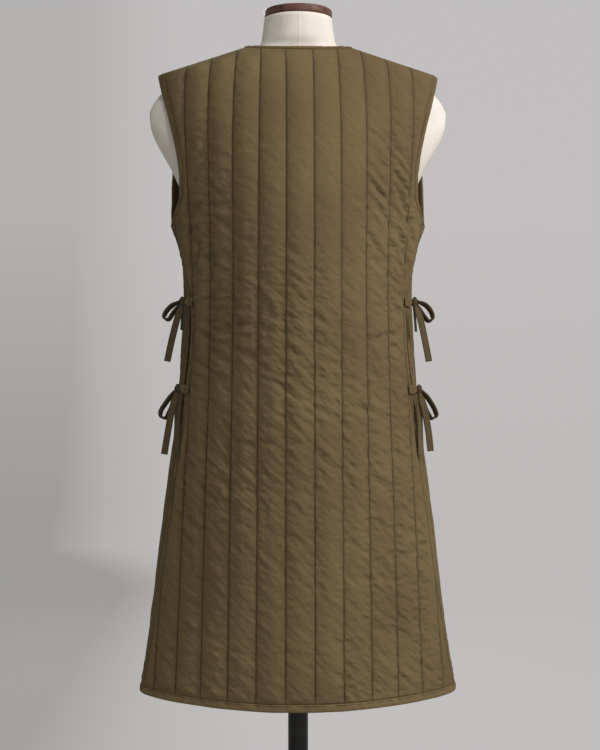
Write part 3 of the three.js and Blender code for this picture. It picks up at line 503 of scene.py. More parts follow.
def loft(name, loops, material, ring=False):
    """A tube through loops (stations, points, 3), capped at its ends unless it is a ring."""
    stations, sides, _ = loops.shape
    points = loops.reshape(-1, 3)
    ids = np.arange(stations * sides).reshape(stations, sides)
    quads = quads_between(ids, np.roll(ids, -1, 0)) if ring else quads_between(ids[:-1], ids[1:])
    caps = [] if ring else [ids[0][::-1], ids[-1]]
    if volume_of(points - points.mean(0), quads) < 0:
        quads, caps = quads[:, ::-1], [cap[::-1] for cap in caps]
    return make_object(name, points, quads.tolist() + [cap.tolist() for cap in caps], material)


def ride(obj, slot_name, *nodes):
    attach(obj, "root")
    if nodes:
        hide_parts(*nodes)
    return obj


# ---- Materials


def fill(tree, node, values):
    """Sets a node's inputs by name, each to a number, a colour or another node's output."""
    sockets = {socket.name: socket for socket in node.inputs if socket.enabled}
    for key, value in values.items():
        if isinstance(value, bpy.types.NodeSocket):
            tree.links.new(value, sockets[key])
        else:
            sockets[key].default_value = value


def made(tree, kind, output, values, **settings):
    """The named output of a new shader node."""
    node = tree.nodes.new("ShaderNode" + kind)
    for key, value in settings.items():
        setattr(node, key, value)
    fill(tree, node, values)
    return next(o for o in node.outputs if o.enabled and o.name == output)


def new_material(name, **values):
    material = bpy.data.materials.new(name)
    material.use_nodes = True
    tree = material.node_tree
    shader = tree.nodes["Principled BSDF"]
    fill(tree, shader, values)
    return material, tree, shader


def calculated(tree, operation, first, second):
    node = tree.nodes.new("ShaderNodeMath")
    node.operation = operation
    for socket, value in zip(node.inputs, (first, second)):
        if isinstance(value, (int, float)):
            socket.default_value = value
        else:
            tree.links.new(value, socket)
    return node.outputs[0]


def attribute(tree, name):
    return made(tree, "Attribute", "Fac", {}, attribute_name=name)


def noise_node(tree, scale, detail, place=None):
    """Noise over a place, or else over the object's own coordinates, in metres."""
    place = place or made(tree, "TexCoord", "Object", {})
    return made(tree, "TexNoise", "Fac", {"Scale": scale, "Detail": detail, "Vector": place})


def stretched(tree, kind, sizes, turn=0):
    """The object's own coordinates, stretched and turned about Y."""
    place = made(tree, "TexCoord", "Object", {})
    values = {"Rotation": (0, turn, 0), "Scale": sizes, "Vector": place}
    return made(tree, "Mapping", "Vector", values, vector_type=kind)


def ramp(tree, source, stops):
    colour = made(tree, "ValToRGB", "Color", {"Fac": source})
    elements = colour.node.color_ramp.elements
    while len(elements) < len(stops):
        elements.new(0.5)
    for element, (place, shade) in zip(elements, stops):
        element.position = place
        element.color = (*shade, 1)
    return colour


def mixed(tree, first, second, share, blend="MIX"):
    values = {"A": first, "B": second, "Factor": share}
    return made(tree, "Mix", "Result", values, data_type="RGBA", blend_type=blend)


def add_bump(tree, shader, height, strength, distance):
    values = {"Strength": strength, "Distance": distance, "Height": height}
    fill(tree, shader, {"Normal": made(tree, "Bump", "Normal", values)})


def small_wrinkles(tree):
    """Height of the creases finer than the mesh: slanting ones, and short ones at the seams."""
    heights = []
    for name, turn, sizes, detail, height in BUMP_WRINKLES:
        fine = noise_node(tree, 1, detail, stretched(tree, "TEXTURE", sizes, turn))
        fine = calculated(tree, "MULTIPLY", fine, attribute(tree, name))
        heights.append(calculated(tree, "MULTIPLY", fine, height))
    return calculated(tree, "ADD", *heights)


def cotton(name, dark, light, with_seam_shade_and_wrinkles=False):
    """Matt cotton: slow changes of colour and a fine weave."""
    values = {"Roughness": 0.92, "Specular IOR Level": 0.22}
    material, tree, shader = new_material(name, **values)
    colour = ramp(tree, noise_node(tree, 6, 5), [(0.32, dark), (0.68, light)])
    speck = ramp(tree, noise_node(tree, 260, 4), [(0.3, (0.86,) * 3), (0.7, (1.1,) * 3)])
    colour = mixed(tree, colour, speck, 0.6, "MULTIPLY")
    weave = noise_node(tree, 420, 5)
    if with_seam_shade_and_wrinkles:
        # Painted shade: the seam attribute mixes in a darker copy of the colour along the quilting
        # seams, where their grooves would be in shade.
        shade = (*(share * part for share, part in zip(SEAM_PAINTED_SHADE, dark)), 1)
        colour = mixed(tree, colour, shade, attribute(tree, "seam"))
        weave = calculated(tree, "MULTIPLY", weave, WEAVE_IN_WRINKLES)
        height = calculated(tree, "SUBTRACT", weave, small_wrinkles(tree))
        add_bump(tree, shader, height, 1.0, SMALL_WRINKLE)
    else:
        add_bump(tree, shader, weave, 0.25, WEAVE_HEIGHT)
    fill(tree, shader, {"Base Color": colour})
    return material


def plain(name, dark, light, roughness, scale, bump=0.1, metallic=0.0):
    material, tree, shader = new_material(name, Roughness=roughness, Metallic=metallic)
    colour = ramp(tree, noise_node(tree, scale, 4), [(0.3, dark), (0.7, light)])
    fill(tree, shader, {"Base Color": colour})
    add_bump(tree, shader, noise_node(tree, scale * 12, 4), bump, 0.0004)
    return material


def wood(name):
    material, tree, shader = new_material(name, **{"Roughness": 0.5, "Specular IOR Level": 0.3})
    grain = noise_node(tree, 3, 5, stretched(tree, "POINT", (9, 60, 60)))
    dark, light = (0.050, 0.020, 0.013), (0.130, 0.056, 0.036)
    fill(tree, shader, {"Base Color": ramp(tree, grain, [(0.35, dark), (0.65, light)])})
    return material


CLOTH = cotton("olive cotton", (0.114, 0.077, 0.0365), (0.142, 0.102, 0.0465), with_seam_shade_and_wrinkles=True)
BINDING = cotton("binding cotton", (0.11, 0.075, 0.034), (0.144, 0.102, 0.046))
TAPE = cotton("tape cotton", (0.09, 0.063, 0.032), (0.124, 0.089, 0.046))
# Two darker copies of the tape cotton, as painted shade: one for the ties on the left, away from the
# key light, and one for the knots, loops and short ends that sit in against the side.
PAINTED_SHADE_TAPE = cotton("shaded tape cotton", (0.054, 0.037, 0.018), (0.078, 0.055, 0.028))
DEEP_SHADE_TAPE = cotton("dark tape cotton", (0.026, 0.023, 0.012), (0.042, 0.037, 0.019))
HEM_COTTON = cotton("hem cotton", (0.132, 0.091, 0.042), (0.174, 0.124, 0.058))
THREAD = plain("thread", (0.03, 0.02, 0.008), (0.048, 0.033, 0.014), 0.9, 60)
LINEN = plain("linen", (0.6, 0.55, 0.495), (0.68, 0.63, 0.575), 0.85, 40, 0.35)
WOOD = wood("dark wood")
METAL = plain("dark metal", (0.014, 0.013, 0.012), (0.022, 0.021, 0.019), 0.38, 20, 0.05, 0.6)

# ---- Quilted panels

HEM_LEVEL = HEM_BINDING_WIDTH / (UNDERARM_Z - HEM_Z)
INNER_STEP = 3
LAST_COLUMN = 6.27


def channel_columns():
    """Channel positions of the mesh columns, close together beside each seam."""
    shares = np.array(CHANNEL_SHARES)
    around = np.concatenate([-shares[:0:-1], shares, [0.5]])
    found = np.add.outer(np.arange(7), around).ravel()
    return found[(found >= 0) & (found <= LAST_COLUMN)]


COLUMNS = channel_columns()


def panel_levels():
    lower = int((UNDERARM_Z - HEM_Z - HEM_BINDING_WIDTH) / ROW_STEP)
    upper = int((SHOULDER_Z - UNDERARM_Z) / (ROW_STEP * 0.85))
    upper += -(lower + upper) % INNER_STEP
    return np.concatenate([np.linspace(HEM_LEVEL, 1, lower + 1), 1 + np.linspace(0, 1, upper + 1)[1:]])


def creased(panel, points):
    """Height of the listed creases, each a soft trough with a ridge on either side."""
    height = np.zeros(points.shape[:-1])
    for x, z, length, degrees, width, depth in CREASES[panel.name]:
        turn = math.radians(degrees)
        dx, dz = points[..., 0] - x, points[..., 2] - z
        lengthwise = (dx * math.cos(turn) + dz * math.sin(turn)) / (length / 2)
        across = (dz * math.cos(turn) - dx * math.sin(turn)) / width
        across = across + 0.35 * np.sin(2.2 * lengthwise + x)
        trough = bell(across) - 0.45 * bell(np.abs(across) - 1.9)
        height -= depth * trough * np.exp(-np.abs(lengthwise) ** 3)
    return height


def relief(panel, points, channel, fade, to_edge):
    """Height of the wadding above the plain wall, and the shares of the two finest wrinkles.

    The noises' sizes are in millimetres, and each seam and channel has a place of its own in them.
    """
    x, z = points[..., 0], points[..., 2]
    aside = channel - np.round(channel)
    arch = np.sqrt(np.maximum(0, 1 - (2 * aside) ** 2))
    seed = 20 if panel is BACK else 60
    seam_id, channel_id = 17.3 * (np.floor(channel) + 0.5), 23.7 * np.round(channel)

    outwards = smooth((np.abs(x) - 50) / 110)
    lively = lerp(1, 0.3, smooth((z - LIVELY_TO_Z - 150 * outwards) / 170))
    turning = smooth((0.99 - np.abs(x) / half_width(z)) / CALM_SHARE)
    lively = lively * (0.8 + 0.35 * noise(x / 90 + 9, z / 120, seed))
    lively *= lerp(1, 1.4, smooth((np.abs(x) - 30) / 120))
    lively *= lerp(CALM_EDGE, 1, smooth(to_edge / EDGE_CALM_REACH) * turning)
    tilt = noise(seam_id, z / 60, seed + 1)
    away = from_seams(channel, channel_width(z))
    fine = noise(z / 6.8 + tilt * away / 9, away / 13 + seam_id, seed + 2)
    sharp = 0.55 - 1.5 * np.abs(noise(z / 9 - tilt * away / 12, away / 16 + seam_id, seed + 3))
    near = away / PUCKER_REACH * np.exp(1 - away / PUCKER_REACH)
    pucker = PUCKER * near * (0.6 * fine + 0.7 * sharp)

    # Longer wrinkles sag across a channel, down towards the right side seen from behind.
    # Above the waist they turn about, and run up towards the left underarm.
    above_waist = smooth((z - WAIST_Z) / WAIST_REACH)
    slant = WRINKLE_SLANT * lerp(1, 0.55 - x / 190, above_waist)
    slant = slant + 0.4 * noise(channel_id, z / 45, seed + 4)
    offset = aside * channel_width(z)
    level_line = z - slant * offset
    long_ = noise(level_line / 7.6, offset / 24 + channel_id, seed + 5)
    broad = noise(level_line / 21, offset / 50 + channel_id, seed + 7)
    ridge = 0.5 - 1.6 * np.abs(noise(level_line / 13, offset / 30 + channel_id, seed + 8))
    wrinkle = WRINKLE * arch * (0.55 * long_ + 0.25 * broad + 0.6 * ridge)

    puff = PUFF * arch**PUFF_POWER * (1 + 0.13 * noise(z / 34, channel_id + offset / 40, seed + 6))
    groove = GROOVE * bell(away, 1.6)
    folds = creased(panel, points) * (HELD_AT_SEAM + (1 - HELD_AT_SEAM) * arch)
    height = fade * (puff + lively * (pucker + wrinkle) + folds - groove)
    sagging = lerp(1, smooth(0.9 - x / 150), above_waist)
    return height, fade * lively * arch * sagging, fade * lively * near


def row_columns(panel, level):
    """Channel of each mesh column of a half row; the edge gathers those that it cuts off."""
    panel_edge = float(inset_channel(panel, np.array([level]), BINDING_WIDTH)[0])
    spacing = EDGE_SPACING / CHANNEL_AT_HEM
    half = np.minimum(COLUMNS, panel_edge - spacing * np.arange(len(COLUMNS))[::-1])
    half[-1] = panel_edge
    return half


def build_panel(panel):
    """The quilted wall with its plain inside, and what the stitching needs of its outer face."""
    levels = panel_levels()
    halves = [row_columns(panel, level) for level in levels]
    channels = np.array([np.concatenate([-half[:0:-1], half]) for half in halves])
    middle = np.array([surface(panel, row, np.full(len(row), lv)) for row, lv in zip(channels, levels)])
    normal = -panel.face * np.cross(np.gradient(middle, axis=1), np.gradient(middle, axis=0))
    near_top = smooth((levels - 1.97) / 0.03)[:, None]
    normal[..., 1] *= 1 - near_top * (np.abs(channels) > NECK_CHANNEL - 0.02)
    normal = unit(normal)
    panel_edge = channels[:, -1:]
    to_edge = (panel_edge - np.abs(channels)) * channel_width(middle[..., 2])
    to_hem = (levels - HEM_LEVEL)[:, None] * (UNDERARM_Z - HEM_Z)
    to_top = (2 - levels)[:, None] * (SHOULDER_Z - UNDERARM_Z)
    fade = smooth(np.minimum(to_edge, to_hem) / PUFF_FADE) * smooth(to_top / SHOULDER_FADE)
    lift, wrinkle, pucker = relief(panel, middle, channels, fade, to_edge)
    outer = middle + normal * (WALL / 2 + lift)[..., None]
    inner = (middle - normal * (WALL / 2))[::INNER_STEP, ::INNER_STEP]

    rows, columns = outer.shape[:2]
    ids = np.arange(rows * columns).reshape(rows, columns)
    inner_ids = rows * columns + np.arange(inner[..., 0].size).reshape(inner.shape[:2])

    def grid_faces(grid, reverse):
        quads = np.stack([grid[:-1, :-1], grid[:-1, 1:], grid[1:, 1:], grid[1:, :-1]], -1)
        return quads.reshape(-1, 4)[:, :: -1 if reverse else 1].tolist()

    back = panel.face > 0
    faces = grid_faces(ids, back) + grid_faces(inner_ids, not back)
    rims = [(ids[0], inner_ids[0], True), (ids[-1], inner_ids[-1], False)]
    rims += [(ids[:, 0], inner_ids[:, 0], False), (ids[:, -1], inner_ids[:, -1], True)]
    for fine, coarse, forward in rims:
        for k in range(len(coarse) - 1):
            run = fine[k * INNER_STEP : (k + 1) * INNER_STEP + 1].tolist()
            face = [*run[::-1], int(coarse[k]), int(coarse[k + 1])]
            faces.append(face if forward != back else face[::-1])
    points = np.concatenate([outer.reshape(-1, 3), inner.reshape(-1, 3)])
    obj = make_object(panel.name + "_quilting", points, faces, CLOTH)
    away = from_seams(channels, channel_width(middle[..., 2]))
    # Painted shade along the quilting seams, kept in the seam attribute: a narrow dark line in the
    # groove and a fainter, wider darkening beside it.
    line = 0.62 * bell(away, 0.85) + 0.13 * bell(away, 4.5)
    for name, share in (("seam", line), ("wrinkle", wrinkle), ("pucker", pucker)):
        add_attribute(obj, name, np.concatenate([share.ravel(), np.zeros(inner[..., 0].size)]))
    return obj, {"outer": outer, "normal": normal, "channels": channels, "edge": panel_edge}


# ---- Stitches


def stitches_on(points, normals, pitch, length, width, height):
    """Short threads along a line, as eight-cornered prisms whose ends dip into the cloth."""
    run = run_along(points)
    count = int(run[-1] / pitch)
    starts = (np.arange(count) + 0.25) * pitch
    first, last = at_run(starts, run, points), at_run(starts + length, run, points)
    up = unit(at_run(starts + length / 2, run, normals))
    across = unit(np.cross(last - first, up)) * width / 2
    up = up * height / 2
    square = ((-1, -1), (1, -1), (1, 1), (-1, 1))
    return np.stack([end + s * across + t * up for end in (first, last) for s, t in square], 1)


PRISM = [(0, 3, 2, 1), (4, 5, 6, 7), (0, 1, 5, 4), (1, 2, 6, 5), (2, 3, 7, 6), (3, 0, 4, 7)]


def thread_object(name, prisms):
    prisms = np.concatenate(prisms)
    points = prisms.reshape(-1, 3)
    base = 8 * np.arange(len(prisms))[:, None]
    faces = np.concatenate([base + np.array(face) for face in PRISM]).tolist()
    return make_object(name, points, faces, THREAD, smooth_shading=False)


# Pitch, length, width and height of a stitch.
QUILT_STITCH = (4.0, 2.9, 0.6, 0.5)
BINDING_STITCH = (3.2, 2.3, 0.55, 0.5)
EDGE_STITCH = (2.6, 1.8, 0.4, 0.3)
STITCH_LIFT = 0.12


def quilt_stitches(grid):
    """Threads along every quilting seam of a panel, on its outer face."""
    found = []
    for seam in [side * (number + 0.5) for number in range(6) for side in (LEFT, RIGHT)]:
        rows = np.nonzero(grid["edge"][:, 0] > abs(seam) + 0.03)[0]
        for run in np.split(rows, np.nonzero(np.diff(rows) > 1)[0] + 1):
            if len(run) < 3:
                continue
            points, normals = (
                np.array([at_run(seam, grid["channels"][r], values[r]) for r in run])
                for values in (grid["outer"], grid["normal"])
            )
            found.append(stitches_on(points + STITCH_LIFT * normals, normals, *QUILT_STITCH))
    return found


# ---- Bindings

# Profile of a binding: share of the way from the seam to the edge, and height of its outer face.
BINDING_PROFILE = np.array(
    [(0, 1.3), (0.1, 1.75), (0.26, 1.95), (0.5, 1.9), (0.74, 1.75), (0.9, 1.3), (0.985, 0.5)]
)
STITCH_SHARE = 0.17
STITCH_HEIGHT = 1.95
UNDERSIDE = 0.95  # height of the inner face, as a share of the profile's


def binding_loops(seam, edge, normal, seed, dents):
    """Cross-sections of a folded binding, a little uneven along its length."""
    run = run_along(edge)
    uneven = 1 + 0.5 * noise(run / 5, 0.5, seed) + 0.2 * noise(run / 17, 0.0, seed + 1) - dents
    waver = 0.35 * noise(run / 21, 2.5, seed + 2)
    outward = unit(edge - seam)
    under = np.full(len(run), -UNDERSIDE)
    sections = []
    for profile, lift in ((BINDING_PROFILE, uneven), (BINDING_PROFILE[::-1], under)):
        for share, height in profile:
            point = lerp(seam, edge, share) + outward * (waver * share)[:, None]
            sections.append(point + normal * (height * lift)[:, None])
    return np.stack(sections, 1)


def bind(name, panel_name, lines, seed, material=BINDING, dents=0, ring=False):
    """A binding and the stitches along its seam."""
    obj = loft(name + "_look", binding_loops(*lines, seed, dents), material, ring)
    bindings[panel_name].append(ride(obj, "binding", name))
    if ring:
        lines = [np.concatenate([line, line[:1]]) for line in lines]
    seam, edge, normal = lines
    line = lerp(seam, edge, STITCH_SHARE) + STITCH_HEIGHT * normal
    binding_threads.append(stitches_on(line, normal, *BINDING_STITCH))


def edge_lines(panel, side, level):
    edge = surface(panel, side * edge_at(panel, level), level)
    seam = surface(panel, side * inset_channel(panel, level, BINDING_WIDTH - SEAM_GAP), level)
    return seam, edge, edge_normal(panel, side, level)


STATION_STEP = 3.0
GAP_LEVEL = SEAM_GAP / (UNDERARM_Z - HEM_Z)
binding_threads = []
bindings = {"back": [], "front": []}


def side_bindings():
    count = int((UNDERARM_Z - HEM_Z) / STATION_STEP)
    level = np.linspace(HEM_LEVEL + GAP_LEVEL, 1 - GAP_LEVEL, count)
    seed = 200
    for hand, side in (("left", LEFT), ("right", RIGHT)):
        for panel in (BACK, FRONT):
            seed += 7
            lines = edge_lines(panel, side, level)
            bind(f"{panel.name}_side_binding_{hand}", panel.name, lines, seed)


def armhole_bindings():
    rise = np.linspace(0, 1, int((SHOULDER_Z - UNDERARM_Z) / STATION_STEP))
    for hand, side in (("left", LEFT), ("right", RIGHT)):
        parts = [edge_lines(BACK, side, 1 + rise), edge_lines(FRONT, side, 1 + rise[-2::-1])]
        lines = [np.concatenate(pair) for pair in zip(*parts)]
        bind(f"armhole_binding_{hand}", "back", lines, 240 + side)


def hem_bindings():
    for panel in (BACK, FRONT):
        edge = float(edge_at(panel, 0.0))
        count = 2 * int(edge * CHANNEL_AT_HEM / STATION_STEP) + 1
        channel = np.linspace(-edge, edge, count)
        seam_level = HEM_LEVEL - GAP_LEVEL
        seam = surface(panel, channel / edge * edge_at(panel, seam_level), seam_level)
        lines = (seam, surface(panel, channel, 0), normal_at(panel, channel, 0))
        dents = 0.28 * bell(from_seams(channel, CHANNEL_AT_HEM), 2.2)
        bind(panel.name + "_hem_binding", panel.name, lines, 260 + panel.face, HEM_COTTON, dents)


def neck_lines(panel, place):
    """Seam, edge and normal of the neck binding at places from -1 to 1 across the neck."""
    share = signed_power(place, NECK_SPREAD)

    def on_cloth(inset):
        x, z = neck_point(panel, np.abs(share), inset)
        return np.stack([np.sign(share) * x, panel.face * upper_depth(panel, x, z), z], -1)

    normal = normal_at(panel, place * NECK_CHANNEL, np.full(len(place), 2.0))
    return on_cloth(NECK_BINDING_WIDTH - NECK_SEAM_GAP), on_cloth(0), normal


def neck_binding():
    place = np.sin(np.linspace(-math.pi / 2, math.pi / 2, 71))
    back, front = neck_lines(BACK, place), neck_lines(FRONT, place[-2:0:-1])
    lines = [np.concatenate(pair) for pair in zip(back, front)]
    bind("neck_binding", "back", lines, 280, ring=True)


# ---- Ties


def spline(points, step):
    """Evenly spaced points on a centripetal Catmull-Rom curve."""
    p = np.array(points, float)
    p = np.concatenate([[2 * p[0] - p[1]], p, [2 * p[-1] - p[-2]]])
    found = []
    t = np.linspace(0, 1, 33)[:-1, None]
    for x0, x1, x2, x3 in zip(p, p[1:], p[2:], p[3:]):
        d0, d1, d2 = (math.sqrt(np.linalg.norm(b - a)) for a, b in ((x0, x1), (x1, x2), (x2, x3)))
        m1 = d1 * ((x1 - x0) / d0 - (x2 - x0) / (d0 + d1) + (x2 - x1) / d1)
        m2 = d1 * ((x2 - x1) / d1 - (x3 - x1) / (d1 + d2) + (x3 - x2) / d2)
        found.append(hermite(x1, x2, m1, m2, t))
    curve = np.concatenate([*found, p[-2:-1]])
    run = run_along(curve)
    count = max(4, round(run[-1] / step) + 1)
    return at_run(np.linspace(0, run[-1], count), run, curve), run[-1]


# Section of a tape: across and through it, in half widths and half thicknesses.
TAPE_SECTION = [
    (-1, -0.35), (-0.93, -1), (-0.72, -1.1), (0, -0.8), (0.72, -1.1), (0.93, -1), (1, -0.35),
    (1, 0.35), (0.93, 1), (0.72, 1.1), (0, 0.8), (-0.72, 1.1), (-0.93, 1), (-1, 0.35),
]


def tape(name, points, widths, directions, material, thickness=TAPE_THICKNESS):
    """A flat tape through points, thicker where its edges are folded in."""
    tangent = unit(np.gradient(points, axis=0))
    across = unit(directions - (directions * tangent).sum(1, keepdims=True) * tangent)
    normal = np.cross(tangent, across)
    run = np.arange(len(points))
    seed = 300 + sum(map(ord, name)) % 90
    limp = 0.5 * noise(run / 9, 0.5, seed) * smooth(run / 8)
    points = points + normal * limp[:, None]
    wide = [across * (s * widths / 2)[:, None] for s, _ in TAPE_SECTION]
    loops = [points + w + normal * (t * thickness / 2) for w, (_, t) in zip(wide, TAPE_SECTION)]
    return loft(name, np.stack(loops, 1), material), points, across, normal


TAPE_STEP = 2.0
SQUARE_INSET = 2.2  # of the stitched square, from a sewn end's edges
KNOT_INSET = 0.6  # how far a tape reaches into its knot
tape_threads = []


def knot_centre(tie):
    return np.array([tie["side"] * tie["knot"][0], *tie["knot"][1:]], float)


def free_tape(tie_name, tie, key, material, twist_start, twist_end):
    """A loop, tail or end, with the points and the length of its middle."""
    name, is_loop = f"{tie_name}_{key}", key == "loop"
    centre, route = knot_centre(tie), np.array(tie[key], float)
    placed = centre + route * [tie["side"], 1, 1]
    for end in (0, -1) if is_loop else (0,):
        towards = unit(placed[end] - centre)
        placed[end] = centre + towards * (1 / np.linalg.norm(towards / KNOT) - KNOT_INSET)
    points, length = spline(placed, TAPE_STEP)
    k = np.arange(len(points))
    from_knot = (np.minimum(k, k[::-1]) if is_loop else k) * TAPE_STEP
    widths = lerp(TAPE_AT_KNOT, TAPE_WIDTH, smooth(from_knot / TAPE_GATHER))
    tilt = math.atan2(route[2][0] - route[0][0], route[0][2] - route[2][2])
    twist = np.radians(lerp(twist_start, twist_end, k / k[-1]))
    flat = np.cos(twist)
    directions = [tie["side"] * flat * math.cos(tilt), np.sin(twist), flat * math.sin(tilt)]
    directions = np.stack(directions, -1)
    thickness = LOOP_THICKNESS if is_loop else TAPE_THICKNESS
    obj, line, across, normal = tape(name + "_look", points, widths, directions, material, thickness)
    for s in (-0.74, 0.74):
        for t in (1, -1):
            edge = line + across * (s * widths / 2)[:, None] + t * normal * thickness * 0.54
            tape_threads.append(stitches_on(edge, t * normal, *EDGE_STITCH))
    return ride(obj, "tape", name), line, length


def sewn_tape(name, panel, tie):
    """A tape's sewn end: it lies on the binding, runs to the edge and bridges to the knot."""
    side, z = tie["side"], tie["knot"][2]
    lift = BINDING_THICKNESS / 2 + SEWN_GAP + 1

    def over(inward, height):
        """Place over the binding, inward from the edge."""
        level = np.atleast_1d((height - HEM_Z) / (UNDERARM_Z - HEM_Z))
        edge = surface(panel, side * edge_at(panel, level), level)
        seam = surface(panel, side * inset_channel(panel, level, BINDING_WIDTH), level)
        return (lerp(edge, seam, inward / BINDING_WIDTH) + edge_normal(panel, side, level) * lift)[0]

    anchors = [over(TAB_REACH * share, z) for share in (1, 0.75, 0.5, 0.25)] + [over(TAB_BEND, z)]
    upright = over(TAB_REACH / 2, z + 1) - over(TAB_REACH / 2, z - 1)
    centre = knot_centre(tie)
    from_knot = (anchors[-1] - centre) * [1, 1, 0]
    anchors.append(centre + unit(from_knot) * (KNOT[0] - KNOT_INSET))
    points, length = spline(anchors, TAPE_STEP)
    share = np.linspace(0, 1, len(points))
    wide = lerp(TAB_WIDTH, TAPE_WIDTH, smooth((share * length - TAB_REACH) / 6))
    widths = lerp(wide, TAPE_AT_KNOT, smooth(1 - (1 - share) * length / 7))
    directions = lerp(unit(upright), np.array([0, 0, 1.0]), smooth(share)[:, None])
    obj, line, across, normal = tape(name + "_look", points, widths, directions, BINDING)
    if normal[0] @ (anchors[0] - centre * [0, 0, 1]) < 0:
        normal = -normal
    on = line + normal * (TAPE_THICKNESS * 0.58)
    inner = max(1, int(round(len(line) * 0.06)))
    outer = int(len(line) * min(0.9, (TAB_REACH - 2.5) / length))
    half = TAB_WIDTH / 2 - SQUARE_INSET
    corners = ((inner, -half), (inner, half), (outer, half), (outer, -half))
    square = [on[k] + across[k] * aside for k, aside in corners]
    for a, b in zip(square, square[1:] + square[:1]):
        seam = lerp(a, b, np.linspace(0, 1, 12)[:, None])
        tape_threads.append(stitches_on(seam, np.repeat(normal[:1], 12, 0), *EDGE_STITCH))
    return ride(obj, "tape", name)


def knot_object(name, tie, material):
    """A pulled knot: an uneven oval with a wrap of tape slanting round it."""
    polar = np.linspace(0.12, math.pi - 0.12, 22)[:, None]
    round_ = circle(32)[None, :]
    slant = polar + 0.42 * np.cos(round_ - 0.6)
    groove = sum(0.12 * bell(slant - place, 0.16) for place in (1.05, 2.1))
    size = 1.12 - groove + 0.03 * np.cos(7 * round_ + 3 * polar)
    flat = size * np.sin(polar)
    shape = np.stack([flat * np.cos(round_), flat * np.sin(round_), size * np.cos(polar)], -1)
    return ride(loft(name + "_look", knot_centre(tie) + shape * KNOT, material), "tape", name)


def build_ties():
    declared = []
    for tie_name, tie in TIES.items():
        name, upper = "tie_" + tie_name, tie_name.startswith("upper")
        # Painted shade: the left ties take darker tape than the right ones, and each knot, loop and
        # upper tie's short end is darker than its hanging tail.
        near, hanging = (DEEP_SHADE_TAPE, PAINTED_SHADE_TAPE) if tie["side"] == LEFT else (PAINTED_SHADE_TAPE, TAPE)
        twist = -72 if upper else -30
        declared.append({
            "knot": knot_object(name + "_knot", tie, near),
            "sewn": {p.name: sewn_tape(f"{name}_{p.name}_tape", p, tie) for p in (BACK, FRONT)},
            "loop": free_tape(name, tie, "loop", near, 56, 68),
            "tail": free_tape(name, tie, "tail", hanging, 0, 0),
            "end": free_tape(name, tie, "end", near if upper else hanging, twist, twist),
        })
    return declared


# ---- Dress form and stand

FORM_ROW_STEP = 6.0
CENTRE_RIDGE = 0.45  # the form's cover is sewn down the centre back and front
SEAM_HALF_WIDTH = 0.9
RIDGE_FROM_Z = 875


def build_form():
    heights = FORM_RINGS["z"]
    z = np.concatenate(
        [np.linspace(a, b, max(2, math.ceil((b - a) / FORM_ROW_STEP)) + 1)[:-1]
         for a, b in zip(heights, heights[1:])] + [heights[-1:]]
    )
    close = np.radians([-3.2, -1.6, -0.8, 0.8, 1.6, 3.2])
    angle = np.unique(np.concatenate([circle(128), math.pi / 2 + close, 1.5 * math.pi + close]))
    power = 2 / column(FORM_RINGS, "round", z)[:, None]
    cosine, sine = np.cos(angle)[None, :], np.sin(angle)[None, :]
    x = column(FORM_RINGS, "half", z)[:, None] * signed_power(cosine, power)
    y = column(FORM_RINGS, "depth", z)[:, None] * signed_power(sine, power)
    ridge = CENTRE_RIDGE * bell(x, SEAM_HALF_WIDTH) * (z[:, None] > RIDGE_FROM_Z)
    y = y + np.sign(y) * ridge
    loops = np.stack([x, y, np.broadcast_to(z[:, None], x.shape)], -1)
    return ride(loft("form_cover", loops, LINEN), "linen", "form_torso")


def circle(count):
    return np.linspace(0, 2 * math.pi, count, endpoint=False)


def turned(profile, segments):
    """Rings of points from (radius, height) pairs."""
    ring = circle(segments)
    return np.array([[(r * math.cos(a), r * math.sin(a), z) for a in ring] for r, z in profile])


def rounded(radius, bottom, top, bevel, steps=5):
    """Profile of a disc with rounded rims."""
    turn = np.linspace(0, math.pi / 2, steps)
    flat = radius - bevel
    low = [(flat + bevel * math.sin(a), bottom + bevel - bevel * math.cos(a)) for a in turn]
    high = [(flat + bevel * math.cos(a), top - bevel + bevel * math.sin(a)) for a in turn]
    return [(0.2, bottom), (radius * 0.6, bottom), *low, *high, (radius * 0.6, top), (0.2, top)]


def build_stand():
    low = BASE_THICKNESS + SEAM_GAP
    top = low + COLLAR_HEIGHT
    collar, pole = (low, top, 2.5), (top + SEAM_GAP, FORM_RINGS["z"][0] - SEAM_GAP, 0.8)
    for name, node, segments, radius, ends in (
        ("cap_turned", "neck_cap", 96, CAP_RADIUS, (CAP_BOTTOM_Z, CAP_TOP_Z, 3)),
        ("base_disc", "base", 128, BASE_RADIUS, (0, BASE_THICKNESS, 4)),
        ("collar_turned", "pole_collar", 64, COLLAR_RADIUS, collar),
        ("pole_tube", "pole", 64, POLE_RADIUS, pole),
    ):
        slot, material = ("cap_wood", WOOD) if node == "neck_cap" else ("stand_metal", METAL)
        ride(loft(name, turned(rounded(radius, *ends), segments), material), slot, node)


# ---- Build

form = build_form()
build_stand()
side_bindings()
armhole_bindings()
hem_bindings()
neck_binding()
ties = build_ties()

bindings["back"] += [
    ride(thread_object("binding_stitching", binding_threads), "binding"),
    ride(thread_object("tape_stitching", tape_threads), "tape"),
]
for each_panel in (BACK, FRONT):
    which = each_panel.name
    quilting, grid = build_panel(each_panel)
    ride(quilting, "cloth", which + "_panel")
    stitched = ride(thread_object(which + "_quilt_stitching", quilt_stitches(grid)), "cloth")

# ---- Backdrop and light

BOWL_RADIUS = 6.2
BOWL_HEIGHT = 5.0
BOWL_CURVE = 1.8
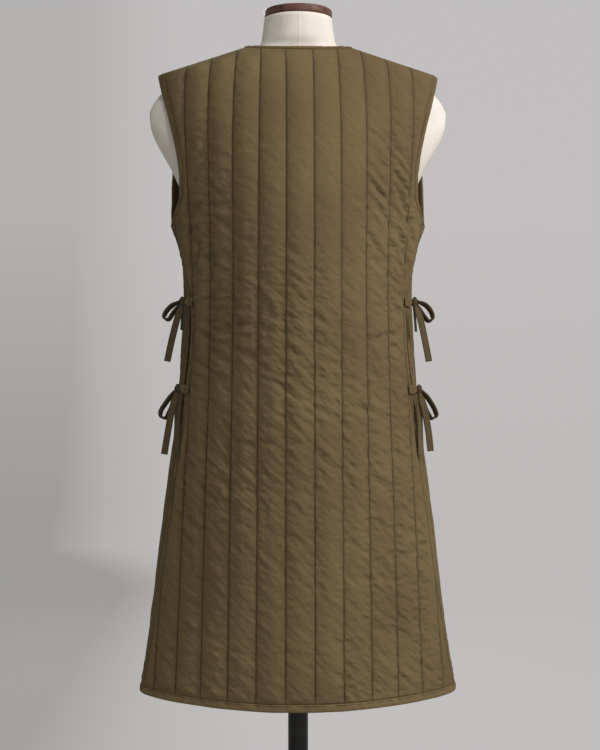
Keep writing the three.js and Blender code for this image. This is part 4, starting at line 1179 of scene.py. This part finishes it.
# The backdrop glows. Its emission is painted light and shade from the lamps: darker to the left and
# towards the bottom, with a painted shadow of the object on the floor.
GLOWING_PAPER = {
    "Roughness": 1.0, "Specular IOR Level": 0.0, "Emission Strength": 1.0,
    "Base Color": (0.05, 0.05, 0.05, 1),
}
PAINTED_BACKDROP_LIGHT = [
    (0.0, (0.316, 0.308, 0.301)),
    (0.3, (0.420, 0.411, 0.404)),
    (0.68, (0.478, 0.469, 0.465)),
    (1.0, (0.508, 0.499, 0.496)),
]


def build_backdrop():
    turn = np.linspace(0, math.pi / 2, 16)
    profile = [(0.01, 0.0), (1.0, 0.0), (2.5, 0.0), (BOWL_RADIUS - BOWL_CURVE, 0.0)]
    flat = BOWL_RADIUS - BOWL_CURVE
    profile += [(flat + BOWL_CURVE * math.sin(a), BOWL_CURVE * (1 - math.cos(a))) for a in turn[1:]]
    points = turned([*profile, (BOWL_RADIUS, BOWL_HEIGHT)], 96)
    ids = np.arange(points[..., 0].size).reshape(points.shape[:2])
    faces = quads_between(ids[:-1], ids[1:]).tolist() + [ids[0][::-1].tolist()]
    material, tree, shader = new_material("paper", **GLOWING_PAPER)
    place = {"Vector": made(tree, "TexCoord", "Object", {})}

    def mapped(source, start, end, first, last):
        bounds = {"From Min": start, "From Max": end, "To Min": first, "To Max": last}
        return made(tree, "MapRange", "Result", {"Value": source, **bounds})

    # Painted light and shade: darker to the left, away from the key, and towards the bottom, and a
    # painted shadow of the object carries the dark further in on the floor.
    x, z = (made(tree, "SeparateXYZ", axis, place) for axis in "XZ")
    sideways = calculated(tree, "ADD", x, mapped(z, 0, 0.12, 0.45, 0))
    across = mapped(sideways, 1.15, 0.5, 0, 0.7)
    total = calculated(tree, "ADD", across, mapped(z, 0.3, 1.9, 0, 0.3))
    fill(tree, shader, {"Emission Color": ramp(tree, total, PAINTED_BACKDROP_LIGHT)})
    make_object("backdrop", points.reshape(-1, 3) / MM, faces, material)


def area_light(name, place, aim, size, power, colour=(1, 1, 1)):
    data = bpy.data.lights.new(name, "AREA")
    data.shape = "DISK"
    data.size = size
    data.energy = power
    data.color = colour
    obj = linked(name, data)
    obj.location = place
    obj.rotation_euler = (Vector(aim) - Vector(place)).to_track_quat("-Z", "Y").to_euler()


def build_light():
    world = bpy.data.worlds.new("room")
    world.use_nodes = True
    tree = world.node_tree
    fill(tree, tree.nodes["Background"], {"Color": (1.0, 0.90, 0.77, 1), "Strength": 0.18})
    bpy.context.scene.world = world
    area_light("key", (-2.5, 1.55, 3.3), (0, 0, 1.0), 0.6, 97, (1.0, 0.98, 0.95))
    area_light("fill", (-1.0, 2.9, 3.6), (0, 0, 1.0), 1.0, 58)
    area_light("other_side", (0.8, -3.2, 2.4), (0, 0, 1.0), 1.5, 60)
    bpy.context.scene.view_settings.view_transform = "Standard"


build_backdrop()
build_light()
